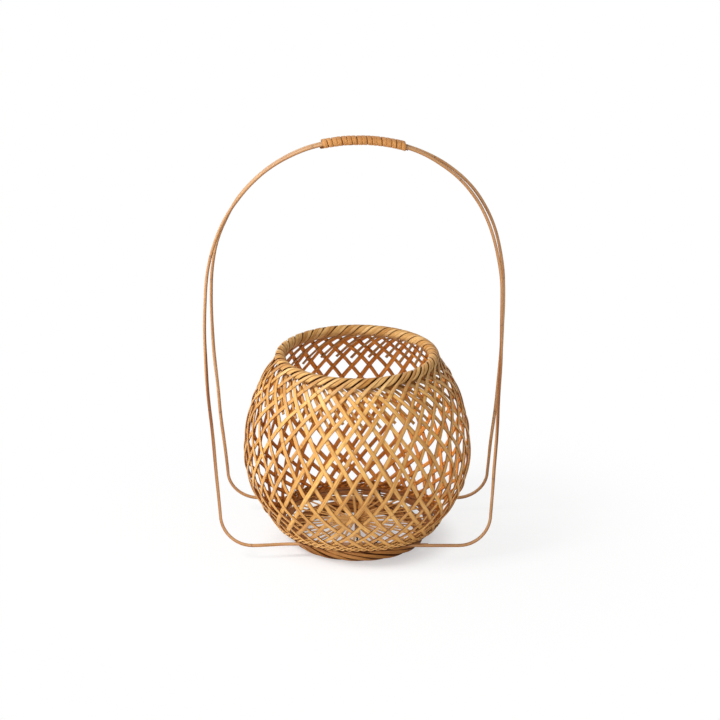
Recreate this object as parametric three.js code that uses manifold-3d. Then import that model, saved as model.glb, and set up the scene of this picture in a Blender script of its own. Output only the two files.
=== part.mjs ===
// A bamboo flower basket with a tall double-rod handle, in millimetres, +Z up.
// The origin is the middle of the foot ring's underside. X runs along the handle's width,
// and the front bar of the handle is on the -Y side.

import * as THREE from 'three';
import { mergeVertices } from 'three/addons/utils/BufferGeometryUtils.js';
import Module from 'manifold-3d';

const wasm = await Module();
wasm.setup();

// Fits
const CLEARANCE = 0.3;

// Foot ring
const FOOT_OUTER_RADIUS = 50;
const FOOT_WIDTH = 7.4;
const FOOT_HEIGHT = 9.6;
const FOOT_EDGE_ROUND = 2;
const RING_SEGMENTS = 48;

// Handle: two rods, each bent into a tall loop
const ROD_DIAMETER = 2.5;
const ROD_SIDES = 8;
const BAR_INSET = 5;
const HANDLE_TOP_HEIGHT = 320;
const HANDLE_SPRING_HEIGHT = 203;
const HANDLE_HALF_SPAN = 112;
const HANDLE_FOOT_HALF_SPAN = 102;
const HANDLE_CORNER_RADIUS = 24;
const HANDLE_SIDE_FLARE = 4.5;
const HANDLE_JOIN_HEIGHT = 268;
const HANDLE_SHIFT = 1.2;
const ROD_TOP_GAP = 1.9;
const LAP_HIDDEN_END = -20;
const LAP_OPEN_END = 55;
const LAP_SHIFT_RUN = 30;
const BEND_SEGMENTS = 6;
const ARCH_SEGMENTS = 14;

// Grip binding round both rods
const BINDING_TURNS = 17;
const BINDING_TURN_GAP = 0.65;
const BINDING_WIDTH = 3;
const BINDING_THICKNESS = 1;
const BINDING_SHIFT = 5.2;
const BINDING_SEGMENTS_PER_HALF = 7;

// Floor strips, crossing in the middle
const FLOOR_STRIP_COUNT = 9;
const FLOOR_STRIP_WIDTH = 4;
const FLOOR_STRIP_THICKNESS = 0.5;
const FLOOR_LEVEL_GAP = 0.15;
const FLOOR_FALL_SEGMENTS = 4;

// Wall strips: V shaped, one arm in the outer layer and one in the inner layer
const WALL_STRIP_COUNT = 36;
const WALL_TURN = -1.7;
const WALL_STRIP_WIDTH = 3.2;
const WALL_STRIP_THICKNESS = 0.5;
const WALL_LAYER_GAP = 0.25;
const FOLD_INNER_RADIUS = 0.6;
const BASE_RADIUS = 61.5;
const BELLY_RADIUS = 85.4;
const BELLY_HEIGHT = 73;
const BASE_WALL_ANGLE = 54;
const BASE_WALL_REACH = 22;
const BELLY_REACH_DOWN = 26;
const BELLY_REACH_UP = 25;
const RIM_WALL_ANGLE = 47;
const RIM_WALL_REACH = 20;
const STRIP_SLOPE_BASE = 44;
const STRIP_SLOPE_BELLY = 62;
const STRIP_SLOPE_RIM = 50;
const FOLD_STATIONS = [0.3, 0.65, 1.1];
const ARM_SEGMENTS = 9;

// Rim rope
const RIM_RADIUS = 58;
const RIM_HEIGHT = 147;
const RIM_ROPE_DIAMETER = 8;
const RIM_ROPE_SIDES = 10;

// Wire ties, each on one arm of the floor's star, counted round from the rear
const WIRE_DIAMETER = 0.8;
const WIRE_SIDES = 6;
const WIRE_BEND = 0.9;
const TIE_TURN = 45;
const TIE_DEPTH = 3;
const TIE_TAIL_HEIGHT = 3.3;
const TIE_ARMS = { front_1: FLOOR_STRIP_COUNT, front_2: FLOOR_STRIP_COUNT + 1, rear_1: 0, rear_2: -1 };

// Heights and places that follow from the sizes above
const rodRadius = ROD_DIAMETER / 2;
const wireRadius = WIRE_DIAMETER / 2;
const barOffset = FOOT_OUTER_RADIUS - BAR_INSET;
const barHeight = FOOT_HEIGHT + CLEARANCE + rodRadius;
const floorHeight = barHeight + rodRadius + CLEARANCE + FLOOR_STRIP_THICKNESS / 2;
const rodTopOffset = rodRadius + ROD_TOP_GAP / 2;
const lapShift = ROD_DIAMETER + CLEARANCE;
const floorFlatRadius = barOffset - lapShift - ROD_DIAMETER;
const bindingPitch = BINDING_WIDTH + BINDING_TURN_GAP;
const layerOffset = (WALL_STRIP_THICKNESS + WALL_LAYER_GAP) / 2;
const baseWallAngle = THREE.MathUtils.degToRad(BASE_WALL_ANGLE);
const rimWallAngle = THREE.MathUtils.degToRad(RIM_WALL_ANGLE);

const BAMBOO = new THREE.MeshStandardMaterial({ color: 0xc8924a, roughness: 0.5, metalness: 0 });
const BAMBOO_DARK = new THREE.MeshStandardMaterial({ color: 0x9a6a34, roughness: 0.55, metalness: 0 });
const ROD_BAMBOO = new THREE.MeshStandardMaterial({ color: 0xb98246, roughness: 0.4, metalness: 0 });
const RATTAN = new THREE.MeshStandardMaterial({ color: 0xc07a34, roughness: 0.45, metalness: 0 });
const DARK_WIRE = new THREE.MeshStandardMaterial({ color: 0x2a2624, roughness: 0.5, metalness: 0.8 });

// A path given by its stations, each a point with the direction that a strip's face looks there.
class StationPath extends THREE.Curve {
  constructor(stations) {
    super();
    this.stations = stations;
  }

  getSpacedPoints() {
    return this.stations.map(({ point }) => point.clone());
  }

  computeFrenetFrames() {
    const last = this.stations.length - 1;
    const tangents = this.stations.map(({ point }, i) => {
      const before = this.stations[Math.max(i - 1, 0)].point;
      const after = this.stations[Math.min(i + 1, last)].point;
      const arriving = point.clone().sub(before).normalize();
      const leaving = after.clone().sub(point).normalize();
      return arriving.add(leaving).normalize();
    });
    const normals = this.stations.map(({ facing }, i) => {
      const along = tangents[i].clone().multiplyScalar(facing.dot(tangents[i]));
      return facing.clone().sub(along).normalize();
    });
    const binormals = tangents.map((tangent, i) => tangent.clone().cross(normals[i]));
    return { tangents, normals, binormals };
  }
}

// Sweeps a section along stations. The section's x is the strip's thickness and its y the width.
function sweep(section, stations) {
  return new THREE.ExtrudeGeometry(section, {
    steps: stations.length - 1,
    extrudePath: new StationPath(stations),
    bevelEnabled: false,
  });
}

function rectangleSection(thickness, width) {
  const x = thickness / 2;
  const y = width / 2;
  return new THREE.Shape([
    new THREE.Vector2(-x, -y),
    new THREE.Vector2(x, -y),
    new THREE.Vector2(x, y),
    new THREE.Vector2(-x, y),
  ]);
}

function roundSection(radius, sides) {
  const corner = (i) => {
    const angle = ((i + 0.5) / sides) * 2 * Math.PI;
    return new THREE.Vector2(radius * Math.cos(angle), radius * Math.sin(angle));
  };
  return new THREE.Shape(Array.from({ length: sides }, (_, i) => corner(i)));
}

// Evenly spaced numbers from first to last, both included.
function spread(first, last, segments) {
  return Array.from({ length: segments + 1 }, (_, i) => first + ((last - first) * i) / segments);
}

function toSolid(geometry) {
  const bare = geometry.clone();
  bare.deleteAttribute('normal');
  bare.deleteAttribute('uv');
  const merged = mergeVertices(bare);
  return new wasm.Manifold(new wasm.Mesh({
    numProp: 3,
    vertProperties: new Float32Array(merged.attributes.position.array),
    triVerts: new Uint32Array(merged.index.array),
  }));
}

function toGeometry(solid) {
  const mesh = solid.getMesh();
  const geometry = new THREE.BufferGeometry();
  geometry.setAttribute('position', new THREE.BufferAttribute(mesh.vertProperties, 3));
  geometry.setIndex(new THREE.BufferAttribute(mesh.triVerts, 1));
  geometry.computeVertexNormals();
  return geometry;
}

const basket = new THREE.Group();

function add(name, geometry, material) {
  const mesh = new THREE.Mesh(geometry, material);
  mesh.name = name;
  basket.add(mesh);
  return mesh;
}

// Wall: the bowl's profile, as radius and height, from the fold at the base up to the rim rope
function wallProfile() {
  const halfWidth = WALL_STRIP_WIDTH / 2;
  const floorTop = floorHeight + FLOOR_STRIP_THICKNESS / 2;
  const baseHeight = floorTop + halfWidth * Math.sin(baseWallAngle);
  const base = new THREE.Vector2(BASE_RADIUS, baseHeight);
  const belly = new THREE.Vector2(BELLY_RADIUS, BELLY_HEIGHT);
  const endReach = halfWidth * Math.cos(THREE.MathUtils.degToRad(STRIP_SLOPE_RIM));
  const ropeToEnd = RIM_ROPE_DIAMETER / 2 + CLEARANCE + endReach;
  const intoRope = new THREE.Vector2(-Math.cos(rimWallAngle), Math.sin(rimWallAngle));
  const top = new THREE.Vector2(RIM_RADIUS, RIM_HEIGHT).addScaledVector(intoRope, -ropeToEnd);
  const outOfFloor = new THREE.Vector2(Math.cos(baseWallAngle), Math.sin(baseWallAngle));
  const profile = new THREE.CurvePath();
  profile.add(new THREE.CubicBezierCurve(
    base,
    base.clone().addScaledVector(outOfFloor, BASE_WALL_REACH),
    new THREE.Vector2(BELLY_RADIUS, BELLY_HEIGHT - BELLY_REACH_DOWN),
    belly,
  ));
  profile.add(new THREE.CubicBezierCurve(
    belly,
    new THREE.Vector2(BELLY_RADIUS, BELLY_HEIGHT + BELLY_REACH_UP),
    top.clone().addScaledVector(intoRope, -RIM_WALL_REACH),
    top,
  ));
  return profile;
}

const wall = wallProfile();
const wallLength = wall.getLength();
const bellyShare = wall.curves[0].getLength() / wallLength;

// How steeply the strips climb at a share of the wall's length
function climb(share) {
  const degrees = share < bellyShare
    ? THREE.MathUtils.lerp(STRIP_SLOPE_BASE, STRIP_SLOPE_BELLY, share / bellyShare)
    : THREE.MathUtils.lerp(STRIP_SLOPE_BELLY, STRIP_SLOPE_RIM, (share - bellyShare) / (1 - bellyShare));
  return Math.tan(THREE.MathUtils.degToRad(degrees));
}

// A strip runs along "travel", zero at its fold. Close to the fold it turns on a round bend,
// and further off it climbs at the slope above. The bend is a hyperbola of this half-axis.
const foldRadius = WALL_STRIP_WIDTH / 2 + FOLD_INNER_RADIUS;
const foldAxis = foldRadius * climb(0) ** 2;
const foldTravel = 2 * foldAxis;
const fullTravel = Math.sqrt((wallLength + foldAxis) ** 2 - foldAxis ** 2);

function travelShare(travel) {
  return Math.min((Math.hypot(travel, foldAxis) - foldAxis) / wallLength, 1);
}

// The angle round the bowl that one arm has swept after each of the given travels
function sweptAngles(travels) {
  const substeps = 24;
  let angle = 0;
  return travels.map((travel, i) => {
    const start = i === 0 ? 0 : travels[i - 1];
    const step = (travel - start) / substeps;
    for (let k = 0; k < substeps; k += 1) {
      const share = travelShare(start + (k + 0.5) * step);
      angle += step / (wall.getPoint(share).x * climb(share));
    }
    return angle;
  });
}

function wallStation(travel, angle) {
  const share = travelShare(travel);
  const probe = 0.001;
  const place = wall.getPoint(share);
  const along = wall.getPoint(Math.min(share + probe, 1)).sub(wall.getPoint(Math.max(share - probe, 0)));
  const outward = new THREE.Vector2(along.y, -along.x).normalize();
  const layer = layerOffset * THREE.MathUtils.clamp(travel / foldAxis, -1, 1);
  place.addScaledVector(outward, layer);
  return {
    point: new THREE.Vector3(place.x * Math.cos(angle), place.x * Math.sin(angle), place.y),
    facing: new THREE.Vector3(outward.x * Math.cos(angle), outward.x * Math.sin(angle), outward.y),
  };
}

function wallStripGeometry() {
  const foldPart = FOLD_STATIONS.map((share) => share * foldAxis);
  const arm = [...foldPart, ...spread(foldTravel, fullTravel, ARM_SEGMENTS)];
  const angles = sweptAngles(arm);
  const rightArm = arm.map((travel, i) => wallStation(travel, angles[i]));
  const leftArm = arm.map((travel, i) => wallStation(-travel, -angles[i])).reverse();
  const stations = [...leftArm, wallStation(0, 0), ...rightArm];
  return sweep(rectangleSection(WALL_STRIP_THICKNESS, WALL_STRIP_WIDTH), stations);
}

function addWall() {
  const geometry = wallStripGeometry();
  const firstTurn = THREE.MathUtils.degToRad(WALL_TURN);
  for (let i = 0; i < WALL_STRIP_COUNT; i += 1) {
    const strip = add(`wall_strip_${String(i + 1).padStart(2, '0')}`, geometry, BAMBOO);
    strip.rotation.z = firstTurn + (i / WALL_STRIP_COUNT) * 2 * Math.PI;
  }
}

// Rim: the twisted rope that closes the mouth
function addRim() {
  const radius = RIM_ROPE_DIAMETER / 2;
  const profile = Array.from({ length: RIM_ROPE_SIDES + 1 }, (_, i) => {
    const angle = ((i % RIM_ROPE_SIDES) / RIM_ROPE_SIDES) * 2 * Math.PI;
    return new THREE.Vector2(RIM_RADIUS + radius * Math.cos(angle), RIM_HEIGHT + radius * Math.sin(angle));
  });
  const ring = new THREE.LatheGeometry(profile, RING_SEGMENTS);
  ring.rotateX(Math.PI / 2);
  add('rim_rope', ring, BAMBOO);
}

// Floor: strips through the middle, each at its own level there and all at one level over the bars
const floorEndRadius = BASE_RADIUS - WALL_STRIP_THICKNESS - CLEARANCE
  - (WALL_STRIP_WIDTH / 2) * Math.cos(baseWallAngle);

// The direction, round the axis, of one arm of the floor's star
const armAngle = Math.PI / FLOOR_STRIP_COUNT;

function armDirection(arm) {
  return Math.PI / 2 + arm * armAngle;
}

function floorStripGeometry(level) {
  const pile = (level - (FLOOR_STRIP_COUNT - 1) / 2) * (FLOOR_STRIP_THICKNESS + FLOOR_LEVEL_GAP);
  const pileRadius = FLOOR_STRIP_WIDTH / 2 / Math.sin(armAngle / 2) + CLEARANCE;
  const arm = [...spread(pileRadius, floorFlatRadius, FLOOR_FALL_SEGMENTS), floorEndRadius];
  const stations = [...arm.map((x) => -x).reverse(), ...arm].map((x) => {
    const fall = THREE.MathUtils.smoothstep(Math.abs(x), pileRadius, floorFlatRadius);
    return {
      point: new THREE.Vector3(x, 0, floorHeight + pile * (1 - fall)),
      facing: new THREE.Vector3(0, 0, 1),
    };
  });
  return sweep(rectangleSection(FLOOR_STRIP_THICKNESS, FLOOR_STRIP_WIDTH), stations);
}

function addFloor() {
  for (let i = 0; i < FLOOR_STRIP_COUNT; i += 1) {
    const strip = add(`floor_strip_${i + 1}`, floorStripGeometry(i), BAMBOO_DARK);
    strip.rotation.z = armDirection(i);
  }
}

// Handle: each loop is one rod whose ends lap on the bottom bar
const arch = new THREE.EllipseCurve(
  0, HANDLE_SPRING_HEIGHT, HANDLE_HALF_SPAN, HANDLE_TOP_HEIGHT - HANDLE_SPRING_HEIGHT, 0, Math.PI,
);
const archLength = arch.getLength();
const bindingLength = BINDING_TURNS * bindingPitch;
const bindingReach = bindingLength / 2 + BINDING_SHIFT + bindingPitch;
const windingHeight = arch.getPointAt(0.5 - bindingReach / archLength).y;

// Half of a loop's outline, from the corner at the bar up to the top, as x and height
function halfLoop() {
  const cornerX = HANDLE_FOOT_HALF_SPAN - HANDLE_CORNER_RADIUS;
  const cornerTop = barHeight + HANDLE_CORNER_RADIUS;
  const sideThird = (HANDLE_SPRING_HEIGHT - cornerTop) / 3;
  const corner = new THREE.EllipseCurve(
    cornerX, cornerTop, HANDLE_CORNER_RADIUS, HANDLE_CORNER_RADIUS, -Math.PI / 2, 0,
  );
  const side = new THREE.CubicBezierCurve(
    new THREE.Vector2(HANDLE_FOOT_HALF_SPAN, cornerTop),
    new THREE.Vector2(HANDLE_FOOT_HALF_SPAN + HANDLE_SIDE_FLARE, cornerTop + sideThird),
    new THREE.Vector2(HANDLE_HALF_SPAN, HANDLE_SPRING_HEIGHT - sideThird),
    new THREE.Vector2(HANDLE_HALF_SPAN, HANDLE_SPRING_HEIGHT),
  );
  const quarter = spread(0, 0.5, ARCH_SEGMENTS).slice(1).map((u) => arch.getPointAt(u));
  return [...corner.getPoints(BEND_SEGMENTS), ...side.getPoints(BEND_SEGMENTS).slice(1), ...quarter];
}

// The two rods part below the join height, and each loop stands a little to its own side.
function rodOffset(height) {
  const share = Math.max(HANDLE_JOIN_HEIGHT - height, 0) / (HANDLE_JOIN_HEIGHT - barHeight);
  return THREE.MathUtils.lerp(rodTopOffset, barOffset, share);
}

function rodShift(height) {
  return HANDLE_SHIFT * (1 - THREE.MathUtils.smoothstep(height, HANDLE_SPRING_HEIGHT, windingHeight));
}

function loopGeometry() {
  const half = halfLoop();
  const mirrored = half.map(({ x, y }) => new THREE.Vector2(-x, y)).reverse().slice(1);
  const outline = [new THREE.Vector2(LAP_HIDDEN_END, barHeight), ...half, ...mirrored];
  const stations = outline.map(({ x, y }) => ({
    point: new THREE.Vector3(x - rodShift(y), -rodOffset(y), y),
    facing: new THREE.Vector3(0, 1, 0),
  }));
  const shiftStart = mirrored[mirrored.length - 1].x + CLEARANCE;
  const shiftXs = spread(shiftStart, shiftStart + LAP_SHIFT_RUN, BEND_SEGMENTS);
  for (const x of [...shiftXs, LAP_OPEN_END]) {
    const share = THREE.MathUtils.smoothstep(x, shiftStart, shiftStart + LAP_SHIFT_RUN);
    stations.push({
      point: new THREE.Vector3(x - HANDLE_SHIFT, lapShift * share - barOffset, barHeight),
      facing: new THREE.Vector3(0, 1, 0),
    });
  }
  return sweep(roundSection(rodRadius, ROD_SIDES), stations);
}

function addHandle() {
  const geometry = loopGeometry();
  add('handle_loop_front', geometry, ROD_BAMBOO);
  add('handle_loop_rear', geometry, ROD_BAMBOO).rotation.z = Math.PI;
}

// Grip binding: one flat strip wound round both rods, along the top of the arch
function bindingTurn() {
  const reach = rodRadius + CLEARANCE + BINDING_THICKNESS / 2;
  const halfTurn = (side, from) => spread(0, Math.PI, BINDING_SEGMENTS_PER_HALF).map((angle) => ({
    across: side * rodTopOffset + reach * Math.cos(from + angle),
    up: reach * Math.sin(from + angle),
    facing: from + angle,
  }));
  return [...halfTurn(1, -Math.PI / 2), ...halfTurn(-1, Math.PI / 2)];
}

// The winding starts and ends with a straight run under the two rods.
function bindingStations() {
  const turn = bindingTurn();
  const lengths = turn.map((place, i) => {
    const next = turn[(i + 1) % turn.length];
    return Math.hypot(next.across - place.across, next.up - place.up);
  });
  const perimeter = lengths.reduce((sum, length) => sum + length, 0);
  const stations = [];
  let wound = -lengths[turn.length - 1];
  for (let k = turn.length - 1; k <= (BINDING_TURNS + 1) * turn.length; k += 1) {
    const { across, up, facing } = turn[k % turn.length];
    const along = BINDING_SHIFT - bindingLength / 2 + (bindingPitch * wound) / perimeter;
    const u = 0.5 - along / archLength;
    const centre = arch.getPointAt(u);
    const tangent = arch.getTangentAt(u);
    const upward = new THREE.Vector3(tangent.y, 0, -tangent.x);
    stations.push({
      point: new THREE.Vector3(centre.x, across, centre.y).addScaledVector(upward, up),
      facing: upward.clone().multiplyScalar(Math.sin(facing)).add(new THREE.Vector3(0, Math.cos(facing), 0)),
    });
    wound += lengths[k % turn.length];
  }
  return { stations, perTurn: turn.length };
}

function bindingSection() {
  const x = BINDING_THICKNESS / 2;
  const y = BINDING_WIDTH / 2;
  const shoulder = y - x;
  return new THREE.Shape([
    new THREE.Vector2(0, -y),
    new THREE.Vector2(x, -shoulder),
    new THREE.Vector2(x, shoulder),
    new THREE.Vector2(0, y),
    new THREE.Vector2(-x, shoulder),
    new THREE.Vector2(-x, -shoulder),
  ]);
}

// The least gap between points on the edges of one turn and points on the edges of the next
function leastGap(stations, perTurn) {
  const { binormals } = new StationPath(stations).computeFrenetFrames();
  const halfWidth = BINDING_WIDTH / 2;
  const edge = (i, side) => stations[i].point.clone().addScaledVector(binormals[i], side * halfWidth);
  const count = stations.length;
  let least = Infinity;
  for (let i = 0; i < count; i += 1) {
    for (let j = i + Math.floor(perTurn / 2); j < Math.min(i + 2 * perTurn, count); j += 1) {
      least = Math.min(least, edge(i, 1).distanceTo(edge(j, -1)), edge(i, -1).distanceTo(edge(j, 1)));
    }
  }
  return least;
}

function addBinding() {
  const { stations, perTurn } = bindingStations();
  console.log(`grip binding: least gap to itself ${leastGap(stations, perTurn).toFixed(2)} mm`);
  add('grip_binding', sweep(bindingSection(), stations), RATTAN);
}

// Wire ties: each runs over a floor strip, round the bar and through the foot ring
const tieReach = (ROD_DIAMETER + CLEARANCE / 2 + wireRadius + CLEARANCE)
  / Math.sin(THREE.MathUtils.degToRad(TIE_TURN));

function tieStations() {
  const overFloor = floorHeight + FLOOR_STRIP_THICKNESS / 2 + CLEARANCE + wireRadius;
  const tunnel = FOOT_HEIGHT - TIE_DEPTH;
  const tail = wireRadius + CLEARANCE / 2;
  const half = [
    [tail, overFloor + WIRE_BEND + TIE_TAIL_HEIGHT],
    [tail, overFloor + WIRE_BEND],
    [tail + WIRE_BEND, overFloor],
    [tieReach - WIRE_BEND, overFloor],
    [tieReach, overFloor - WIRE_BEND],
    [tieReach, tunnel + WIRE_BEND],
    [tieReach - WIRE_BEND, tunnel],
  ];
  const otherHalf = half.map(([x, z]) => [-x, z]).reverse();
  return [...half, ...otherHalf].map(([x, z]) => ({
    point: new THREE.Vector3(x, 0, z),
    facing: new THREE.Vector3(0, 1, 0),
  }));
}

// A tie stands where a floor strip crosses the middle of the lapped bar, turned across both.
function tiePlace(arm) {
  const angle = armDirection(arm);
  const side = Math.sign(Math.sin(angle));
  const y = side * (barOffset - lapShift / 2);
  return {
    position: new THREE.Vector3(y / Math.tan(angle), y, 0),
    turn: -side * THREE.MathUtils.degToRad(TIE_TURN),
  };
}

function addTies() {
  const geometry = sweep(roundSection(wireRadius, WIRE_SIDES), tieStations());
  for (const [label, arm] of Object.entries(TIE_ARMS)) {
    const tie = add(`tie_${label}`, geometry, DARK_WIRE);
    const { position, turn } = tiePlace(arm);
    tie.position.copy(position);
    tie.rotation.z = turn;
  }
}

// Foot ring: a thick ring with round edges, flat underneath, pierced where the ties go through
function footProfile() {
  const inner = FOOT_OUTER_RADIUS - FOOT_WIDTH;
  const round = FOOT_EDGE_ROUND;
  const corners = [
    [inner + round, 0],
    [FOOT_OUTER_RADIUS - round, 0],
    [FOOT_OUTER_RADIUS, round],
    [FOOT_OUTER_RADIUS, FOOT_HEIGHT - round],
    [FOOT_OUTER_RADIUS - round, FOOT_HEIGHT],
    [inner + round, FOOT_HEIGHT],
    [inner, FOOT_HEIGHT - round],
    [inner, round],
    [inner + round, 0],
  ];
  return corners.map(([x, y]) => new THREE.Vector2(x, y));
}

function addFoot() {
  const ring = new THREE.LatheGeometry(footProfile(), RING_SEGMENTS);
  ring.rotateX(Math.PI / 2);
  const tunnel = sweep(roundSection(wireRadius + CLEARANCE, WIRE_SIDES), tieStations());
  let solid = toSolid(ring);
  for (const arm of Object.values(TIE_ARMS)) {
    const { position, turn } = tiePlace(arm);
    solid = solid.subtract(toSolid(tunnel.clone().rotateZ(turn).translate(...position)));
  }
  add('foot_ring', toGeometry(solid), BAMBOO_DARK);
}

addFoot();
addFloor();
addWall();
addRim();
addHandle();
addBinding();
addTies();

export default basket;
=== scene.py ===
"""Looks of a bamboo flower basket with a tall handle of two bent rods, built over its CAD frame.

Every strip, rope strand, rod, winding and wire is its own mesh, swept along the course that the
real one takes. Sizes are in millimetres and angles in degrees unless a name says otherwise, and
meshes are written in metres. X runs along the handle's width, the front is -Y and Z is up.
"""

import logging
import math
from dataclasses import dataclass, field
from enum import Enum

import bmesh
import bpy
import numpy as np
from bpy.types import Material, Node, NodeSocket, NodeTree, World
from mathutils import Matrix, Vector


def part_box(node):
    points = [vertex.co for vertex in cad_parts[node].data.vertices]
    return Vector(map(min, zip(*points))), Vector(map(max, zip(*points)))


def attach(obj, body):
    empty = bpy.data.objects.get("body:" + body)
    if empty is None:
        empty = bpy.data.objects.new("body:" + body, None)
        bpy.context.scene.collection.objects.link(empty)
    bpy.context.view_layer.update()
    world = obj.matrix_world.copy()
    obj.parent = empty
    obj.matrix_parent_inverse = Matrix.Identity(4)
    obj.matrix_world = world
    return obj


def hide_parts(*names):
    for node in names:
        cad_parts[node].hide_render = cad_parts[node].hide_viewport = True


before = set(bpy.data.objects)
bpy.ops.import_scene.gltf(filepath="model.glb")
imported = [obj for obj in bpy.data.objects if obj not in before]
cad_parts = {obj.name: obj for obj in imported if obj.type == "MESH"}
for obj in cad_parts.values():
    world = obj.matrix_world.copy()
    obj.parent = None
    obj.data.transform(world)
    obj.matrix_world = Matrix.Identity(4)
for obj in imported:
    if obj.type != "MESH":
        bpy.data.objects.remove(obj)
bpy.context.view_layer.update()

LOG = logging.getLogger("basket")
BODY = "root"
MM = 0.001
WELD = 0.001 * MM
FULL_TURN = 2 * math.pi
REAR_SEAM = math.pi / 2
WAVE_DIVISIONS = (1.0, 2.3, 4.1)
PLACE_LAYER = "strip_place"
TONE_LAYER = "strip_tone"
FLOAT = "NodeSocketFloat"
VECTOR = "NodeSocketVector"
WHITE = (1, 1, 1, 1)

Array = np.ndarray
Values = np.ndarray | float
Pair = tuple[float, float]
Colour = tuple[float, float, float, float]


class Slot(Enum):
    """The record's material slots."""

    STRIP = "bamboo_strip"
    FLOOR = "bamboo_floor"
    ROPE = "bamboo_rope"
    ROD = "bamboo_rod"
    RATTAN = "rattan"
    WIRE = "dark_wire"


class Lean(Enum):
    """The way an arm of a wall strip leans as it climbs, seen from outside."""

    RIGHT = 1
    LEFT = -1


class Side(Enum):
    """The front or the rear of the basket, as the sign of Y."""

    FRONT = -1
    REAR = 1


def smoothstep(low: Values, high: Values, value: Values) -> Values:
    """A soft step from 0 at low to 1 at high."""
    share = np.clip((value - low) / (high - low), 0, 1)
    return share * share * (3 - 2 * share)


def blend(first: Values, second: Values, share: Values) -> Values:
    """A mix of two values: the first at a share of 0 and the second at 1."""
    return first + (second - first) * share


def signed_power(values: Values, exponent: float) -> Values:
    """Values raised to a power, with their signs kept."""
    return np.sign(values) * np.abs(values) ** exponent


def unit(vectors: Array) -> Array:
    """The vectors, each at a length of 1."""
    return vectors / np.linalg.norm(vectors, axis=-1, keepdims=True)


def stack(*columns: Values) -> Array:
    """Columns, or single values, side by side as one table."""
    return np.stack(np.broadcast_arrays(*columns), axis=-1)


def look_up(at: Values, known: Array, table: Array) -> Array:
    """Each column of a table, read between its known places."""
    return np.array([np.interp(at, known, column) for column in table.T])


def circle(stations: int, start: float = 0.0) -> Array:
    """Angles once round, in radians."""
    return np.linspace(start, start + FULL_TURN, stations)


def bezier(start: Array, leave: Array, arrive: Array, end: Array, share: Array) -> Array:
    """Points on a cubic curve.

    Args:
        start: First point.
        leave: Control point that the curve leaves towards.
        arrive: Control point that the curve arrives from.
        end: Last point.
        share: Places along the curve, from 0 to 1.

    Returns:
        One point per place.
    """
    t = share[:, None]
    rest = 1 - t
    return rest**3 * start + 3 * rest**2 * t * leave + 3 * rest * t**2 * arrive + t**3 * end


def soft_line(start: Array, leaving: Array, end: Array, arriving: Array, share: Array) -> Array:
    """Points on a curve between two places that leaves and arrives in given directions."""
    third = np.linalg.norm(end - start) / 3
    return bezier(start, start + third * leaving, end - third * arriving, end, share)


def run_lengths(points: Array) -> Array:
    """The length run along a line of points, zero at its first."""
    steps = np.linalg.norm(np.diff(points, axis=0), axis=1)
    return np.concatenate([[0.0], np.cumsum(steps)])


@dataclass(frozen=True)
class Section:
    """The cut of a strip or rod."""

    sides: int
    roundness: float  # 1 makes an oval, and smaller values fuller corners
    crown: float = 0.0  # how far both faces swell in their middle, as a share of half the thickness

    def outline(self) -> tuple[Array, Array]:
        """The cut's outline.

        Returns:
            Places round the cut, as shares of half the width and of half the thickness.
        """
        angle = np.arange(self.sides) * FULL_TURN / self.sides
        across = signed_power(np.cos(angle), self.roundness)
        outward = signed_power(np.sin(angle), self.roundness)
        return across, outward + self.crown * (1 - across**2) * np.sign(outward)


@dataclass
class Course:
    """The way of a strip or rod through space, with its cut at each station."""

    points: Array  # middle of the cut
    facings: Array  # direction that the outer face looks
    widths: Values
    thicknesses: Values
    roll: Values = 0.0  # turn of the cut about the course, in radians

    @staticmethod
    def round_axis(places: tuple[Values, ...], widths: Values, thicknesses: Values,
                   shift: float = 0.0) -> "Course":
        """A course given round the basket's axis, or round one beside it.

        Args:
            places: Azimuth in radians, radius, height, and the outward and upward parts of the facing.
            widths: Width of the cut.
            thicknesses: Thickness of the cut.
            shift: How far the axis lies right of the basket's.

        Returns:
            The course.
        """
        azimuth, radius, height, out, up = places
        cosine = np.cos(azimuth)
        sine = np.sin(azimuth)
        points = stack(radius * cosine + shift, radius * sine, height)
        return Course(points, stack(out * cosine, out * sine, up), widths, thicknesses)

    def frames(self) -> tuple[Array, Array]:
        """The way that the cut lies at each station.

        Returns:
            Its outward and its sideways direction.
        """
        steps = unit(np.diff(self.points, axis=0))
        tangents = unit(np.vstack([steps[:1], steps[:-1] + steps[1:], steps[-1:]]))
        along = np.sum(self.facings * tangents, axis=1, keepdims=True)
        outward = unit(self.facings - along * tangents)
        sideways = np.cross(tangents, outward)
        turn = np.broadcast_to(self.roll, len(self.points))[:, None]
        return (outward * np.cos(turn) + sideways * np.sin(turn),
                sideways * np.cos(turn) - outward * np.sin(turn))


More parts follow.
